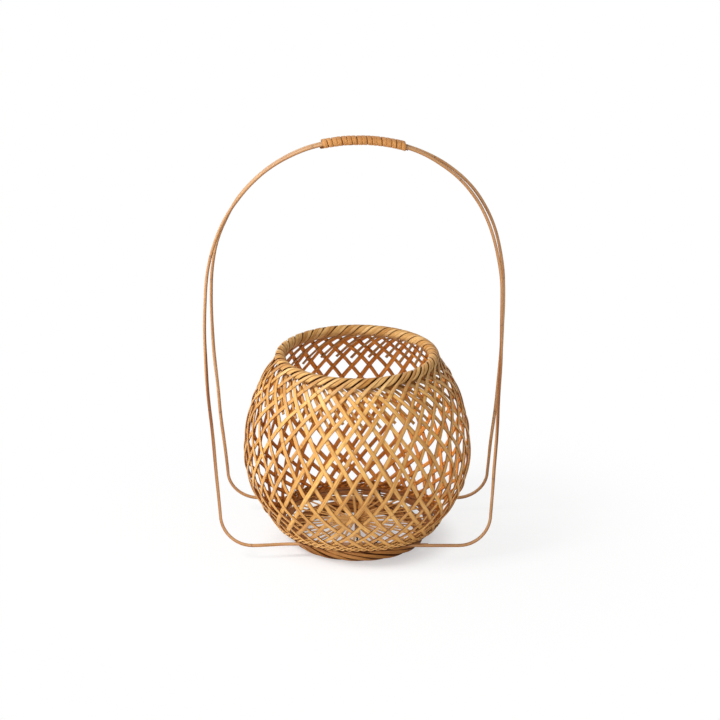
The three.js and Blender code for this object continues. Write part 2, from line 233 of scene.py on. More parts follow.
@dataclass(frozen=True)
class Body:
    """One closed body of a piece: a cut swept along a course."""

    course: Course
    section: Section
    tone: Values  # shade from 0, dark, to 1, light, of the whole body or at each station
    start: float = 0.0  # length of grain already run where the course starts
    heading: int = 1  # 1 where the grain runs with the course and -1 where it runs against it
    ground: float = -math.inf  # height below which the body is flattened

    def grow(self, mesh: bmesh.types.BMesh) -> None:
        """Adds the body to a mesh, as a grid rolled into a tube along the course.

        Args:
            mesh: The piece's mesh, with the layers that the finishes read.
        """
        stations = len(self.course.points)
        outward, sideways = self.course.frames()
        across, out = self.section.outline()
        half_widths = np.broadcast_to(self.course.widths, stations)[:, None] / 2 * across
        half_depths = np.broadcast_to(self.course.thicknesses, stations)[:, None] / 2 * out
        spots = (self.course.points[:, None, :] + sideways[:, None, :] * half_widths[:, :, None]
                 + outward[:, None, :] * half_depths[:, :, None])
        spots[:, :, 2] = np.maximum(spots[:, :, 2], self.ground)
        run = self.start + self.heading * run_lengths(self.course.points)
        tones = np.broadcast_to(self.tone, stations)
        place_layer = mesh.verts.layers.float_vector[PLACE_LAYER]
        tone_layer = mesh.verts.layers.float[TONE_LAYER]
        sides = self.section.sides
        grid = bmesh.ops.create_grid(mesh, x_segments=stations - 1, y_segments=sides, size=0.5)
        for index, vert in enumerate(grid["verts"]):
            row, station = divmod(index, stations)
            corner = row % sides
            vert.co = spots[station, corner] * MM
            vert[place_layer] = (self.heading * half_widths[station, corner], out[corner], run[station])
            vert[tone_layer] = tones[station]
        bmesh.ops.remove_doubles(mesh, verts=grid["verts"], dist=WELD)


@dataclass
class SubAssembly:
    """A part of the basket that makes its own pieces, with its own finish and random numbers."""

    SEED = 0
    SLOT = Slot.STRIP
    tones = (0.0, 1.0)  # darkest and lightest shade, where a sub-assembly gives no others
    material: Material
    rng: np.random.Generator = field(init=False)

    def __post_init__(self) -> None:
        """Starts the random numbers."""
        self.rng = np.random.default_rng(self.SEED)

    def sway(self, size: float, wavelength: float, run: Array) -> Array:
        """A smooth unevenness along a strip, the sum of a few slow waves.

        Args:
            size: Height of the largest wave.
            wavelength: Length of the slowest wave.
            run: Lengths along the strip.

        Returns:
            One height per length.
        """
        return sum(size / division
                   * np.sin(FULL_TURN * division / wavelength * run + self.rng.uniform(0, FULL_TURN))
                   for division in WAVE_DIVISIONS)

    def shade(self) -> float:
        """A random shade between the sub-assembly's darkest and lightest."""
        return float(self.rng.uniform(*self.tones))

    def make_piece(self, name: str, bodies: list[Body], *nodes: str,
                   material: Material | None = None) -> None:
        """Makes one piece of the basket.

        Args:
            name: The piece's name.
            bodies: The closed bodies that it is made of.
            nodes: The CAD nodes that it stands for, if any.
            material: Its finish, where that isn't the sub-assembly's own.
        """
        mesh = bmesh.new()
        mesh.verts.layers.float_vector.new(PLACE_LAYER)
        mesh.verts.layers.float.new(TONE_LAYER)
        for body in bodies:
            body.grow(mesh)
        open_edges = [edge for edge in mesh.edges if edge.is_boundary]
        bmesh.ops.holes_fill(mesh, edges=open_edges, sides=0)
        bmesh.ops.recalc_face_normals(mesh, faces=mesh.faces)
        for face in mesh.faces:
            face.smooth = True
        data = bpy.data.meshes.new(name)
        mesh.to_mesh(data)
        mesh.free()
        data.materials.append(material or self.material)
        piece = bpy.data.objects.new(name, data)
        bpy.context.scene.collection.objects.link(piece)
        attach(piece, BODY)
        if nodes:
            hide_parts(*nodes)
        LOG.info("%s: %d faces", name, len(data.polygons))


class NodeSheet:
    """Places nodes in one node tree and joins their sockets."""

    def __init__(self, tree: NodeTree) -> None:
        """Takes the tree that the nodes go to."""
        self.tree = tree

    @staticmethod
    def cleared(owner: Material | World) -> "NodeSheet":
        """Takes away the nodes that a material or world came with.

        Args:
            owner: The material or world.

        Returns:
            The sheet for its nodes.
        """
        owner.use_nodes = True
        owner.node_tree.nodes.clear()
        return NodeSheet(owner.node_tree)

    def add(self, kind: str, inputs: dict | None = None, **settings: object) -> Node:
        """Adds a node.

        Args:
            kind: The node's type.
            inputs: Values or sockets for its inputs, by name or number.
            settings: The node's own settings.

        Returns:
            The node.
        """
        node = self.tree.nodes.new(kind)
        for name, value in settings.items():
            setattr(node, name, value)
        for key, value in (inputs or {}).items():
            self.feed(node.inputs[key], value)
        return node

    def feed(self, socket: NodeSocket, value: object) -> None:
        """Links a socket to an input, or sets the input's value.

        Args:
            socket: The input.
            value: Value or socket.
        """
        if isinstance(value, NodeSocket):
            self.tree.links.new(value, socket)
        else:
            socket.default_value = value

    def math(self, operation: str, *values: object) -> NodeSocket:
        """The result of one step of arithmetic on values or sockets."""
        return self.add("ShaderNodeMath", dict(enumerate(values)), operation=operation).outputs[0]

    def times(self, first: object, second: object) -> NodeSocket:
        """The product of two values or sockets."""
        return self.math("MULTIPLY", first, second)

    def plus(self, first: object, second: object) -> NodeSocket:
        """The sum of two values or sockets."""
        return self.math("ADD", first, second)

    def ramp(self, value: object, low: float, high: float,
             first: float = 0.0, last: float = 1.0) -> NodeSocket:
        """A value's soft step between two bounds.

        Args:
            value: Value or socket.
            low: Where the step starts.
            high: Where it ends.
            first: Result below the step.
            last: Result above it.

        Returns:
            The result's socket.
        """
        inputs = {"Value": value, "From Min": low, "From Max": high, "To Min": first, "To Max": last}
        return self.add("ShaderNodeMapRange", inputs, interpolation_type="SMOOTHSTEP").outputs["Result"]

    def mix(self, share: object, first: object, second: object, blending: str = "MIX") -> NodeSocket:
        """Two colours mixed.

        Args:
            share: How much of the second colour.
            first: First colour or socket.
            second: Second colour or socket.
            blending: How the colours meet.

        Returns:
            The mixed colour's socket.
        """
        inputs = {0: share, 6: first, 7: second}  # the node's sockets for colours
        return self.add("ShaderNodeMix", inputs, data_type="RGBA", blend_type=blending).outputs[2]

    def vector(self, x: object, y: object, z: object) -> NodeSocket:
        """Three values as one vector."""
        return self.add("ShaderNodeCombineXYZ", {0: x, 1: y, 2: z}).outputs[0]

    def parts(self, vector: NodeSocket) -> list[NodeSocket]:
        """The three values of a vector."""
        return list(self.add("ShaderNodeSeparateXYZ", {0: vector}).outputs)

    def noise(self, vector: object, scale: object, detail: float, roughness: float = 0.5) -> NodeSocket:
        """Soft noise from 0 to 1 at a vector."""
        inputs = {"Vector": vector, "Scale": scale, "Detail": detail, "Roughness": roughness}
        return self.add("ShaderNodeTexNoise", inputs).outputs["Fac"]


class EffectGroup(NodeSheet):
    """A shader node group for an effect that several finishes share."""

    def __init__(self, name: str, inputs: dict[str, str], outputs: tuple[str, ...]) -> None:
        """Makes the empty group.

        Args:
            name: The group's name.
            inputs: Socket type of each input, by name.
            outputs: Names of the outputs, which are all values.
        """
        super().__init__(bpy.data.node_groups.new(name, "ShaderNodeTree"))
        for label, kind in inputs.items():
            self.tree.interface.new_socket(name=label, in_out="INPUT", socket_type=kind)
        for label in outputs:
            self.tree.interface.new_socket(name=label, in_out="OUTPUT", socket_type=FLOAT)
        self.given = self.add("NodeGroupInput").outputs
        self.result = self.add("NodeGroupOutput").inputs


def make_fibre_group() -> NodeTree:
    """Makes the lengthwise fibres of split cane: fine lines and broad streaks that follow the strip.

    Returns:
        The group's nodes.
    """
    strips_apart = 97.0
    round_cut = 0.35
    line_stretch = 0.045
    streak_stretch = 0.05
    streak_breadth = 0.8
    group = EffectGroup("cane_fibres", {"Place": VECTOR, "Tone": FLOAT}, ("Lines", "Streaks"))
    across, outward, run = group.parts(group.given["Place"])
    strip = group.times(group.given["Tone"], strips_apart)
    beside = group.plus(across, group.times(outward, round_cut))
    fine = group.vector(beside, group.times(run, line_stretch), strip)
    lines = group.noise(fine, scale=5.2, detail=3.0, roughness=0.6)
    broad = group.vector(group.times(across, streak_breadth), group.times(run, streak_stretch), strip)
    streaks = group.noise(broad, scale=1.3, detail=2.0)
    group.feed(group.result["Lines"], group.ramp(lines, low=0.34, high=0.66))
    group.feed(group.result["Streaks"], group.ramp(streaks, low=0.32, high=0.68))
    return group.tree


def make_joint_group() -> NodeTree:
    """Makes the cane's growth joints: a dark line with a paler band beside it, once in a long while.

    Returns:
        The group's nodes.
    """
    tone_rate = 311.0
    longest_slip = 400.0
    jag_depth = 0.9
    group = EffectGroup("cane_joints", {"Place": VECTOR, "Tone": FLOAT, "Spacing": FLOAT}, ("Line", "Band"))
    across, outward, run = group.parts(group.given["Place"])
    tone = group.given["Tone"]
    slip = group.times(group.math("SINE", group.times(tone, tone_rate)), longest_slip)
    jag = group.noise(group.vector(across, outward, tone), scale=2.0, detail=1.0)
    slipped = group.plus(group.plus(run, slip), group.times(jag, jag_depth))
    nearest = group.math("PINGPONG", slipped, group.times(group.given["Spacing"], 0.5))
    group.feed(group.result["Line"], group.ramp(nearest, low=0.25, high=0.75, first=1.0, last=0.0))
    group.feed(group.result["Band"], group.ramp(nearest, low=0.5, high=3.4, first=1.0, last=0.0))
    return group.tree


def make_age_group() -> NodeTree:
    """Makes the uneven browning of old cane: soft blotches over the whole basket.

    Returns:
        The group's nodes.
    """
    group = EffectGroup("cane_age", {"Scale": FLOAT}, ("Blotches",))
    spot = group.add("ShaderNodeTexCoord").outputs["Object"]
    blotches = group.noise(spot, scale=group.given["Scale"], detail=2.0)
    group.feed(group.result["Blotches"], group.ramp(blotches, low=0.3, high=0.7))
    return group.tree


@dataclass(frozen=True)
class CaneEffects:
    """The node groups that every cane finish shares."""

    fibres: NodeTree
    joints: NodeTree
    age: NodeTree


@dataclass(frozen=True)
class CaneFinish:
    """A finish of split or whole cane."""

    name: str
    skin: Colour  # outer face
    pith: Colour  # inner face
    edge: Colour  # split edges, dark in most finishes: partly the cut cane's own colour and partly painted shade along the strips' sides
    line: Colour  # what fibres and age multiply by
    dark_tint: Colour = (0.75, 0.64, 0.50, 1)  # what the darkest strips are multiplied by
    light_tint: Colour = (1.06, 1.07, 1.08, 1)  # what the lightest strips are multiplied by
    joint: Colour = (0.09, 0.035, 0.012, 1)  # the joints' dark lines
    fibre_depth: float = 0.5  # how strongly the fine lines show
    streak_depth: float = 0.4  # how strongly the broad streaks show
    age_depth: float = 0.3  # how strongly the blotches show
    age_scale: float = 26.0  # about how many blotches there are along a metre
    joint_spacing: float = 150.0  # length between growth joints
    joint_depth: float = 0.8  # how strongly the joints show
    band_share: float = 0.35  # the share of that for the paler bands
    half_width: float = 1.5  # half of the strip's width, which places its borders
    border_start: float = 0.55  # share of the half width at which the borders start
    border_shade: float = 0.22  # how strongly the borders darken, as painted shade along the strip's sides
    edge_depth: float = 0.8  # how strongly the split edges show
    face_step: float = 0.4  # how softly the inner face changes to the outer
    edge_bounds: Pair = (0.45, 0.95)  # shares of half the thickness between which the edges end
    roughness: float = 0.38  # of the smooth parts
    line_roughness: float = 0.16  # what the fine lines add
    age_roughness: float = 0.1  # what the blotches add
    shine: float = 0.3  # level of the mirror-like reflection on the outer face
    pith_shine: float = 0.2  # the inner face's share of that level
    relief: float = 0.35  # strength of the fibres' relief
    relief_height: float = 0.15
    line_height: float = -0.6  # share of that height at the fine lines
    band_height: float = 0.9  # share of that height beside the joints

    def material(self, effects: CaneEffects) -> Material:
        """Makes the material.

        Args:
            effects: The shared node groups.

        Returns:
            The material.
        """
        made = bpy.data.materials.new(self.name)
        sheet = NodeSheet.cleared(made)
        place = sheet.add("ShaderNodeAttribute", attribute_name=PLACE_LAYER).outputs["Vector"]
        tone = sheet.add("ShaderNodeAttribute", attribute_name=TONE_LAYER).outputs["Fac"]
        given = {"Place": place, "Tone": tone}
        spaced = given | {"Spacing": self.joint_spacing}
        scaled = {"Scale": self.age_scale}
        marks = {}
        for tree, inputs in ((effects.fibres, given), (effects.joints, spaced), (effects.age, scaled)):
            marks.update(sheet.add("ShaderNodeGroup", inputs, node_tree=tree).outputs.items())
        worn = sheet.times(marks["Lines"], self.line_roughness)
        dull = sheet.times(marks["Blotches"], self.age_roughness)
        sunk = sheet.times(marks["Lines"], self.line_height)
        raised = sheet.times(marks["Band"], self.band_height)
        bump = sheet.add("ShaderNodeBump", {
            "Height": sheet.plus(sunk, raised), "Strength": self.relief, "Distance": self.relief_height * MM})
        outward = sheet.parts(place)[1]
        inner_shine = self.shine * self.pith_shine
        shine = sheet.ramp(outward, -self.face_step, self.face_step, inner_shine, self.shine)
        shader = sheet.add("ShaderNodeBsdfPrincipled", {
            "Base Color": self.colour(sheet, place, tone, marks),
            "Roughness": sheet.plus(sheet.plus(worn, dull), self.roughness),
            "Specular IOR Level": shine,
            "Normal": bump.outputs["Normal"]})
        sheet.add("ShaderNodeOutputMaterial", {"Surface": shader.outputs["BSDF"]})
        return made

    def colour(self, sheet: NodeSheet, place: NodeSocket, tone: NodeSocket,
               marks: dict[str, NodeSocket]) -> NodeSocket:
        """Builds the colour from the faces, the painted shade at the borders, the edges' colour, the strip's
        tone, the fibres, the joints and the age.

        Args:
            sheet: The material's nodes.
            place: Where a point lies in its strip.
            tone: The strip's own shade.
            marks: What the shared groups put out, by name.

        Returns:
            The colour's socket.
        """
        across, outward, _ = sheet.parts(place)
        face = sheet.ramp(outward, -self.face_step, self.face_step)
        # Painted shade: the colour darkens towards both borders, and most finishes give the split edges a
        # dark colour
        border_start = self.border_start * self.half_width
        border = sheet.ramp(sheet.math("ABSOLUTE", across), border_start, self.half_width)
        edge = sheet.ramp(sheet.math("ABSOLUTE", outward), *self.edge_bounds, first=1.0, last=0.0)
        colour = sheet.mix(face, self.pith, self.skin)
        colour = sheet.mix(sheet.times(border, self.border_shade), colour, self.edge)
        colour = sheet.mix(sheet.times(edge, self.edge_depth), colour, self.edge)
        colour = sheet.mix(1.0, colour, sheet.mix(tone, self.dark_tint, self.light_tint), "MULTIPLY")
        depths = {"Lines": self.fibre_depth, "Streaks": self.streak_depth, "Blotches": self.age_depth}
        for mark, depth in depths.items():
            colour = sheet.mix(sheet.times(marks[mark], depth), colour, self.line, "MULTIPLY")
        colour = sheet.mix(sheet.times(marks["Band"], self.band_share * self.joint_depth), colour, self.pith)
        return sheet.mix(sheet.times(marks["Line"], self.joint_depth), colour, self.joint)


@dataclass(frozen=True)
class WireFinish:
    """A finish of dull dark wire."""

    name: str = "dark_wire"
    colour: Colour = (0.03, 0.027, 0.025, 1)
    metal: float = 0.8
    roughness: float = 0.5

    def material(self) -> Material:
        """Makes the material.

        Returns:
            The material.
        """
        made = bpy.data.materials.new(self.name)
        sheet = NodeSheet.cleared(made)
        shader = sheet.add("ShaderNodeBsdfPrincipled", {
            "Base Color": self.colour, "Metallic": self.metal, "Roughness": self.roughness})
        sheet.add("ShaderNodeOutputMaterial", {"Surface": shader.outputs["BSDF"]})
        return made


# The dark edge colours and the borders' darkening below are painted shade along the strips' sides and in the
# gaps between them
STRIP_FINISH = CaneFinish(
    "split_cane_wall", skin=(0.98, 0.605, 0.18, 1), pith=(1.0, 0.445, 0.105, 1),
    edge=(0.24, 0.082, 0.015, 1), line=(0.60, 0.41, 0.21, 1), border_shade=0.28, streak_depth=0.58,
    joint_spacing=170.0, joint_depth=0.45, roughness=0.34, shine=0.5)
FLOOR_FINISH = CaneFinish(
    "split_cane_floor", skin=(0.98, 0.60, 0.195, 1), pith=(0.60, 0.27, 0.07, 1),
    edge=(0.52, 0.23, 0.06, 1), line=(0.60, 0.42, 0.24, 1), half_width=1.05, fibre_depth=0.28,
    streak_depth=0.25, age_depth=0.15, joint_spacing=230.0)
ROPE_FINISH = CaneFinish(
    "split_cane_rope", skin=(0.96, 0.66, 0.29, 1), pith=(0.98, 0.67, 0.29, 1),
    edge=(0.36, 0.14, 0.03, 1), line=(0.56, 0.38, 0.20, 1), dark_tint=(0.64, 0.48, 0.32, 1),
    half_width=1.4, fibre_depth=0.55, streak_depth=0.45, age_depth=0.2, joint_depth=0.3,
    joint_spacing=400.0)
# Near-black: painted shade that shows through the slits of the rim and of the foot ring
SLIT_SHADE_FINISH = CaneFinish(
    "painted_slit_shade", skin=(0.10, 0.035, 0.010, 1), pith=(0.08, 0.028, 0.008, 1),
    edge=(0.08, 0.028, 0.008, 1), line=(0.5, 0.35, 0.2, 1), joint_depth=0.0, shine=0.1)
FOOT_FINISH = CaneFinish(
    "split_cane_foot", skin=(0.74, 0.365, 0.105, 1), pith=(0.36, 0.14, 0.036, 1),
    edge=(0.10, 0.032, 0.008, 1), line=(0.48, 0.30, 0.14, 1), half_width=2.0, border_shade=0.25,
    fibre_depth=0.4, streak_depth=0.3, joint_depth=0.2, joint_spacing=500.0)
# Its dark pith is painted shade on the rod's inner face, which looks inwards on the loop and down at the bars
ROD_FINISH = CaneFinish(
    "split_cane_rod", skin=(0.62, 0.38, 0.19, 1), pith=(0.28, 0.105, 0.03, 1),
    edge=(0.61, 0.325, 0.128, 1), line=(0.66, 0.50, 0.36, 1), joint_spacing=118.0, joint_depth=0.4,
    fibre_depth=0.12, streak_depth=0.3, half_width=1.3, border_shade=0.0, roughness=0.28, shine=0.6,
    pith_shine=0.6, relief=0.1)
BAND_FINISH = CaneFinish(
    "split_cane_band", skin=(1.0, 0.63, 0.235, 1), pith=(0.46, 0.19, 0.045, 1),
    edge=(0.26, 0.09, 0.018, 1), line=(0.56, 0.38, 0.20, 1), half_width=0.85, border_shade=0.35,
    joint_depth=0.0)
# Its dark skin is painted shade on the floor's border, under the wall's folds
BORDER_SHADE_FINISH = CaneFinish(
    "split_cane_border_painted_shade", skin=(0.52, 0.25, 0.08, 1), pith=(0.36, 0.15, 0.045, 1),
    edge=(0.22, 0.08, 0.018, 1), line=(0.56, 0.38, 0.20, 1), half_width=1.0, joint_depth=0.0)
RATTAN_FINISH = CaneFinish(
    "rattan_winding", skin=(0.80, 0.43, 0.15, 1), pith=(0.50, 0.20, 0.06, 1),
    edge=(0.30, 0.11, 0.025, 1), line=(0.60, 0.42, 0.24, 1), joint_spacing=260.0, joint_depth=0.5,
    half_width=1.8, roughness=0.42)


@dataclass
class BowlOutline:
    """The bowl's wall as radius and height, along the middle of its weave, from the fold to the rim."""

    rim_radius: float  # of the rim rope's middle
    rim_height: float
    base_radius: float = 61.5  # at the fold
    base_height: float = 14.49  # of the fold's middle
    base_angle: float = 54.0  # slope of the wall at the fold
    base_reach: float = 22.0  # how far the curve keeps that slope
    belly_radius: float = 85.4  # at the widest place
    belly_height: float = 73.0
    belly_reach_down: float = 26.0  # how far the wall stays upright below it
    belly_reach_up: float = 25.0  # how far the wall stays upright above it
    rim_angle: float = 47.0  # slope of the wall under the rope
    rim_reach: float = 20.0  # how far the curve keeps that slope
    rim_gap: float = 5.33  # distance from the rope's middle to the end of the wall
    stations: int = 300  # on each of the curve's halves
    curve: Array = field(init=False)  # radius, height and the two parts of the facing
    run: Array = field(init=False)
    belly_run: float = field(init=False)

    def __post_init__(self) -> None:
        """Works out the wall's curve, its length and the direction that it faces."""
        base_slope = math.radians(self.base_angle)
        rim_slope = math.radians(self.rim_angle)
        base = np.array([self.base_radius, self.base_height])
        belly = np.array([self.belly_radius, self.belly_height])
        up_wall = np.array([-math.cos(rim_slope), math.sin(rim_slope)])
        top = np.array([self.rim_radius, self.rim_height]) - self.rim_gap * up_wall
        from_base = base + self.base_reach * np.array([math.cos(base_slope), math.sin(base_slope)])
        share = np.linspace(0, 1, self.stations)
        low = bezier(base, from_base, belly - [0, self.belly_reach_down], belly, share)
        high = bezier(belly, belly + [0, self.belly_reach_up], top - self.rim_reach * up_wall, top, share)
        line = np.vstack([low, high[1:]])
        along = unit(np.gradient(line, axis=0))
        self.curve = np.hstack([line, stack(along[:, 1], -along[:, 0])])
        self.run = run_lengths(line)
        self.belly_run = self.run[len(low) - 1]

    @property
    def length(self) -> float:
        """Length of the wall from the fold to its end under the rope."""
        return self.run[-1]

    def place(self, run: Values) -> Array:
        """Radius and height after each length up the wall."""
        return look_up(run, self.run, self.curve)[:2]

    def beside(self, run: Values, offset: Values) -> tuple[Values, ...]:
        """Radius, height and the two parts of the facing, at distances outside the middle of the weave."""
        radius, height, out, up = look_up(run, self.run, self.curve)
        return radius + offset * out, height + offset * up, out, up


@dataclass(frozen=True)
class StripEnd:
    """Where an arm of a wall strip leaves the weave for the rim."""

    lean: Lean
    azimuth: float  # in radians
    offset: float  # distance outside the middle of the weave
    tone: float  # the strip's shade
    grain: float  # length of grain run at the end


@dataclass
class Wall(SubAssembly):
    """The woven wall: V-shaped strips that fold at the base and cross over two and under two."""

    SEED = 11
    SECTION = Section(sides=16, roundness=0.4, crown=0.5)
    outline: BowlOutline
    count: int = 36
    turn: float = -1.7  # angle of the first strip
    width: float = 3.2
    fold_width: float = 2.2  # width at the fold
    widen: float = 12.0  # length up the wall over which a strip comes to its full width
    thickness: float = 0.85
    fold_radius: float = 2.2  # to the middle of the strip
    climbs: tuple[float, float, float] = (44.0, 62.0, 50.0)  # slopes at the fold, the belly and the rim
    weave_depth: float = 0.6  # swing out and in between crossings
    weave_middle: float = 2.5  # row of crossings at which an arm goes from one side to the other
    weave_start: float = 0.75  # rows over which the swing starts
    rim_leave: float = 5.0  # length under the wall's end at which the arms leave for the rim
    fold_reach: float = 3.0  # how far the closer stations go, as a multiple of the bend
    fold_stations: int = 12
    arm_stations: int = 70
    quiet_from: float = 0.8  # share of an arm after which it stops swaying
    side_sway: Pair = (0.42, 90.0)  # size and wavelength
    side_slip: float = 0.7
    width_spread: float = 0.1
    width_sway: Pair = (0.03, 60.0)
    roll_sway: Pair = (math.radians(3), 45.0)
    tone_middle: float = 0.5
    tone_spread: float = 0.28
    turn_steps: int = 3000  # at which the turn round the axis is worked out
    ends: list[StripEnd] = field(default_factory=list)
    travel: Array = field(init=False)
    swept: Array = field(init=False)
    bend: float = field(init=False)  # half-axis of the rounded fold

    def __post_init__(self) -> None:
        """Works out how far round the axis an arm has turned after each length of travel."""
        super().__post_init__()
        self.bend = self.fold_radius * math.tan(math.radians(self.climbs[0])) ** 2
        self.travel = np.linspace(0, self.travel_at(self.outline.length), self.turn_steps)
        rate = self.rate_at(self.run_at(self.travel))
        steps = (rate[1:] + rate[:-1]) / 2 * np.diff(self.travel)
        self.swept = np.concatenate([[0.0], np.cumsum(steps)])

    @property
    def end_run(self) -> float:
        """Length up the wall at which an arm leaves for the rim."""
        return self.outline.length - self.rim_leave

    @property
    def end_rate(self) -> float:
        """Turn round the axis for each length of travel, where an arm leaves for the rim."""
        return float(self.rate_at(self.end_run))

    def run_at(self, travel: Values) -> Values:
        """Length up the wall after each length of travel: a round bend at the fold, then a straight climb."""
        return np.hypot(travel, self.bend) - self.bend

    def travel_at(self, run: Values) -> Values:
        """Length of travel from the fold to each length up the wall."""
        return np.sqrt((run + self.bend) ** 2 - self.bend**2)

    def rate_at(self, run: Values) -> Values:
        """Turn round the axis, in radians, for each length of travel."""
        degrees = np.interp(run, [0, self.outline.belly_run, self.outline.length], self.climbs)
        return 1 / (self.outline.place(run)[0] * np.tan(np.radians(degrees)))

    def turn_after(self, travel: Values) -> Values:
        """Turn round the axis, in radians, after each length of travel."""
        return np.interp(travel, self.travel, self.swept)

    def turn_at(self, run: Values) -> Values:
        """Turn round the axis, in radians, of an arm from the fold to a length up the wall."""
        return self.turn_after(self.travel_at(run))

    def weave_offset(self, signed_travel: Array) -> Array:
        """How far each arm lies outside the middle of the weave.

        Args:
            signed_travel: Travel from the fold, positive on the arm that leans right.

        Returns:
            One distance per travel.
        """
        row = self.turn_after(np.abs(signed_travel)) / (math.pi / self.count)
        swing = np.sin(math.pi / 2 * (row - self.weave_middle)) * smoothstep(0, self.weave_start, row)
        return self.weave_depth * np.sign(signed_travel) * swing

    def strip_course(self, index: int, tone: float) -> Course:
        """The course of one strip, from its left arm's end through the fold to its right arm's end.

        Args:
            index: The strip's number, from 0.
            tone: The strip's shade.

        Returns:
            The course. The two ends are added to the wall's list.
        """
        last = self.travel_at(self.end_run)
        near_end = self.fold_reach * self.bend
        near = np.linspace(0, near_end, self.fold_stations)
        arm = np.concatenate([near, np.linspace(near_end, last, self.arm_stations)[1:]])
        travel = np.concatenate([-arm[:0:-1], arm])
        away = np.abs(travel)
        run = self.run_at(travel)
        offset = self.weave_offset(travel)
        quiet = 1 - smoothstep(self.quiet_from * last, last, away)
        sway = self.sway(*self.side_sway, travel) + self.rng.uniform(-self.side_slip, self.side_slip)
        azimuth = math.radians(self.turn + index * 360 / self.count) + np.sign(travel) * self.turn_after(away)
        azimuth = azimuth + sway * quiet / self.outline.place(run)[0]
        widths = blend(self.fold_width, self.width, smoothstep(0, self.widen, run))
        wider = self.rng.uniform(-self.width_spread, self.width_spread) * quiet
        widths = widths * (1 + wider + self.sway(*self.width_sway, travel) * quiet)
        places = (azimuth, *self.outline.beside(run, offset))
        course = Course.round_axis(places, widths, self.thickness)
        course.roll = self.sway(*self.roll_sway, travel) * quiet
        grain = run_lengths(course.points)
        for lean, station in ((Lean.LEFT, 0), (Lean.RIGHT, -1)):
            self.ends.append(StripEnd(lean, azimuth[station], offset[station], tone, grain[station]))
        return course

    def build(self) -> None:
        """Weaves all the strips."""
        for index in range(self.count):
            tone = float(np.clip(self.rng.normal(self.tone_middle, self.tone_spread), 0, 1))
            node = f"wall_strip_{index + 1:02d}"
            body = Body(self.strip_course(index, tone), self.SECTION, tone)
            self.make_piece(f"woven_{node}", [body], node)


@dataclass(frozen=True)
class Wrap:
    """How one family of strips goes over the hoop."""

    touch: float  # angle round the hoop where the strips meet it
    leave: float  # angle where they leave it or end
    spread: float  # how much that angle differs between strips
    stations: int  # over the hoop
    width: float
    sway: Pair  # size and wavelength of the width's unevenness, by stations
    section: Section


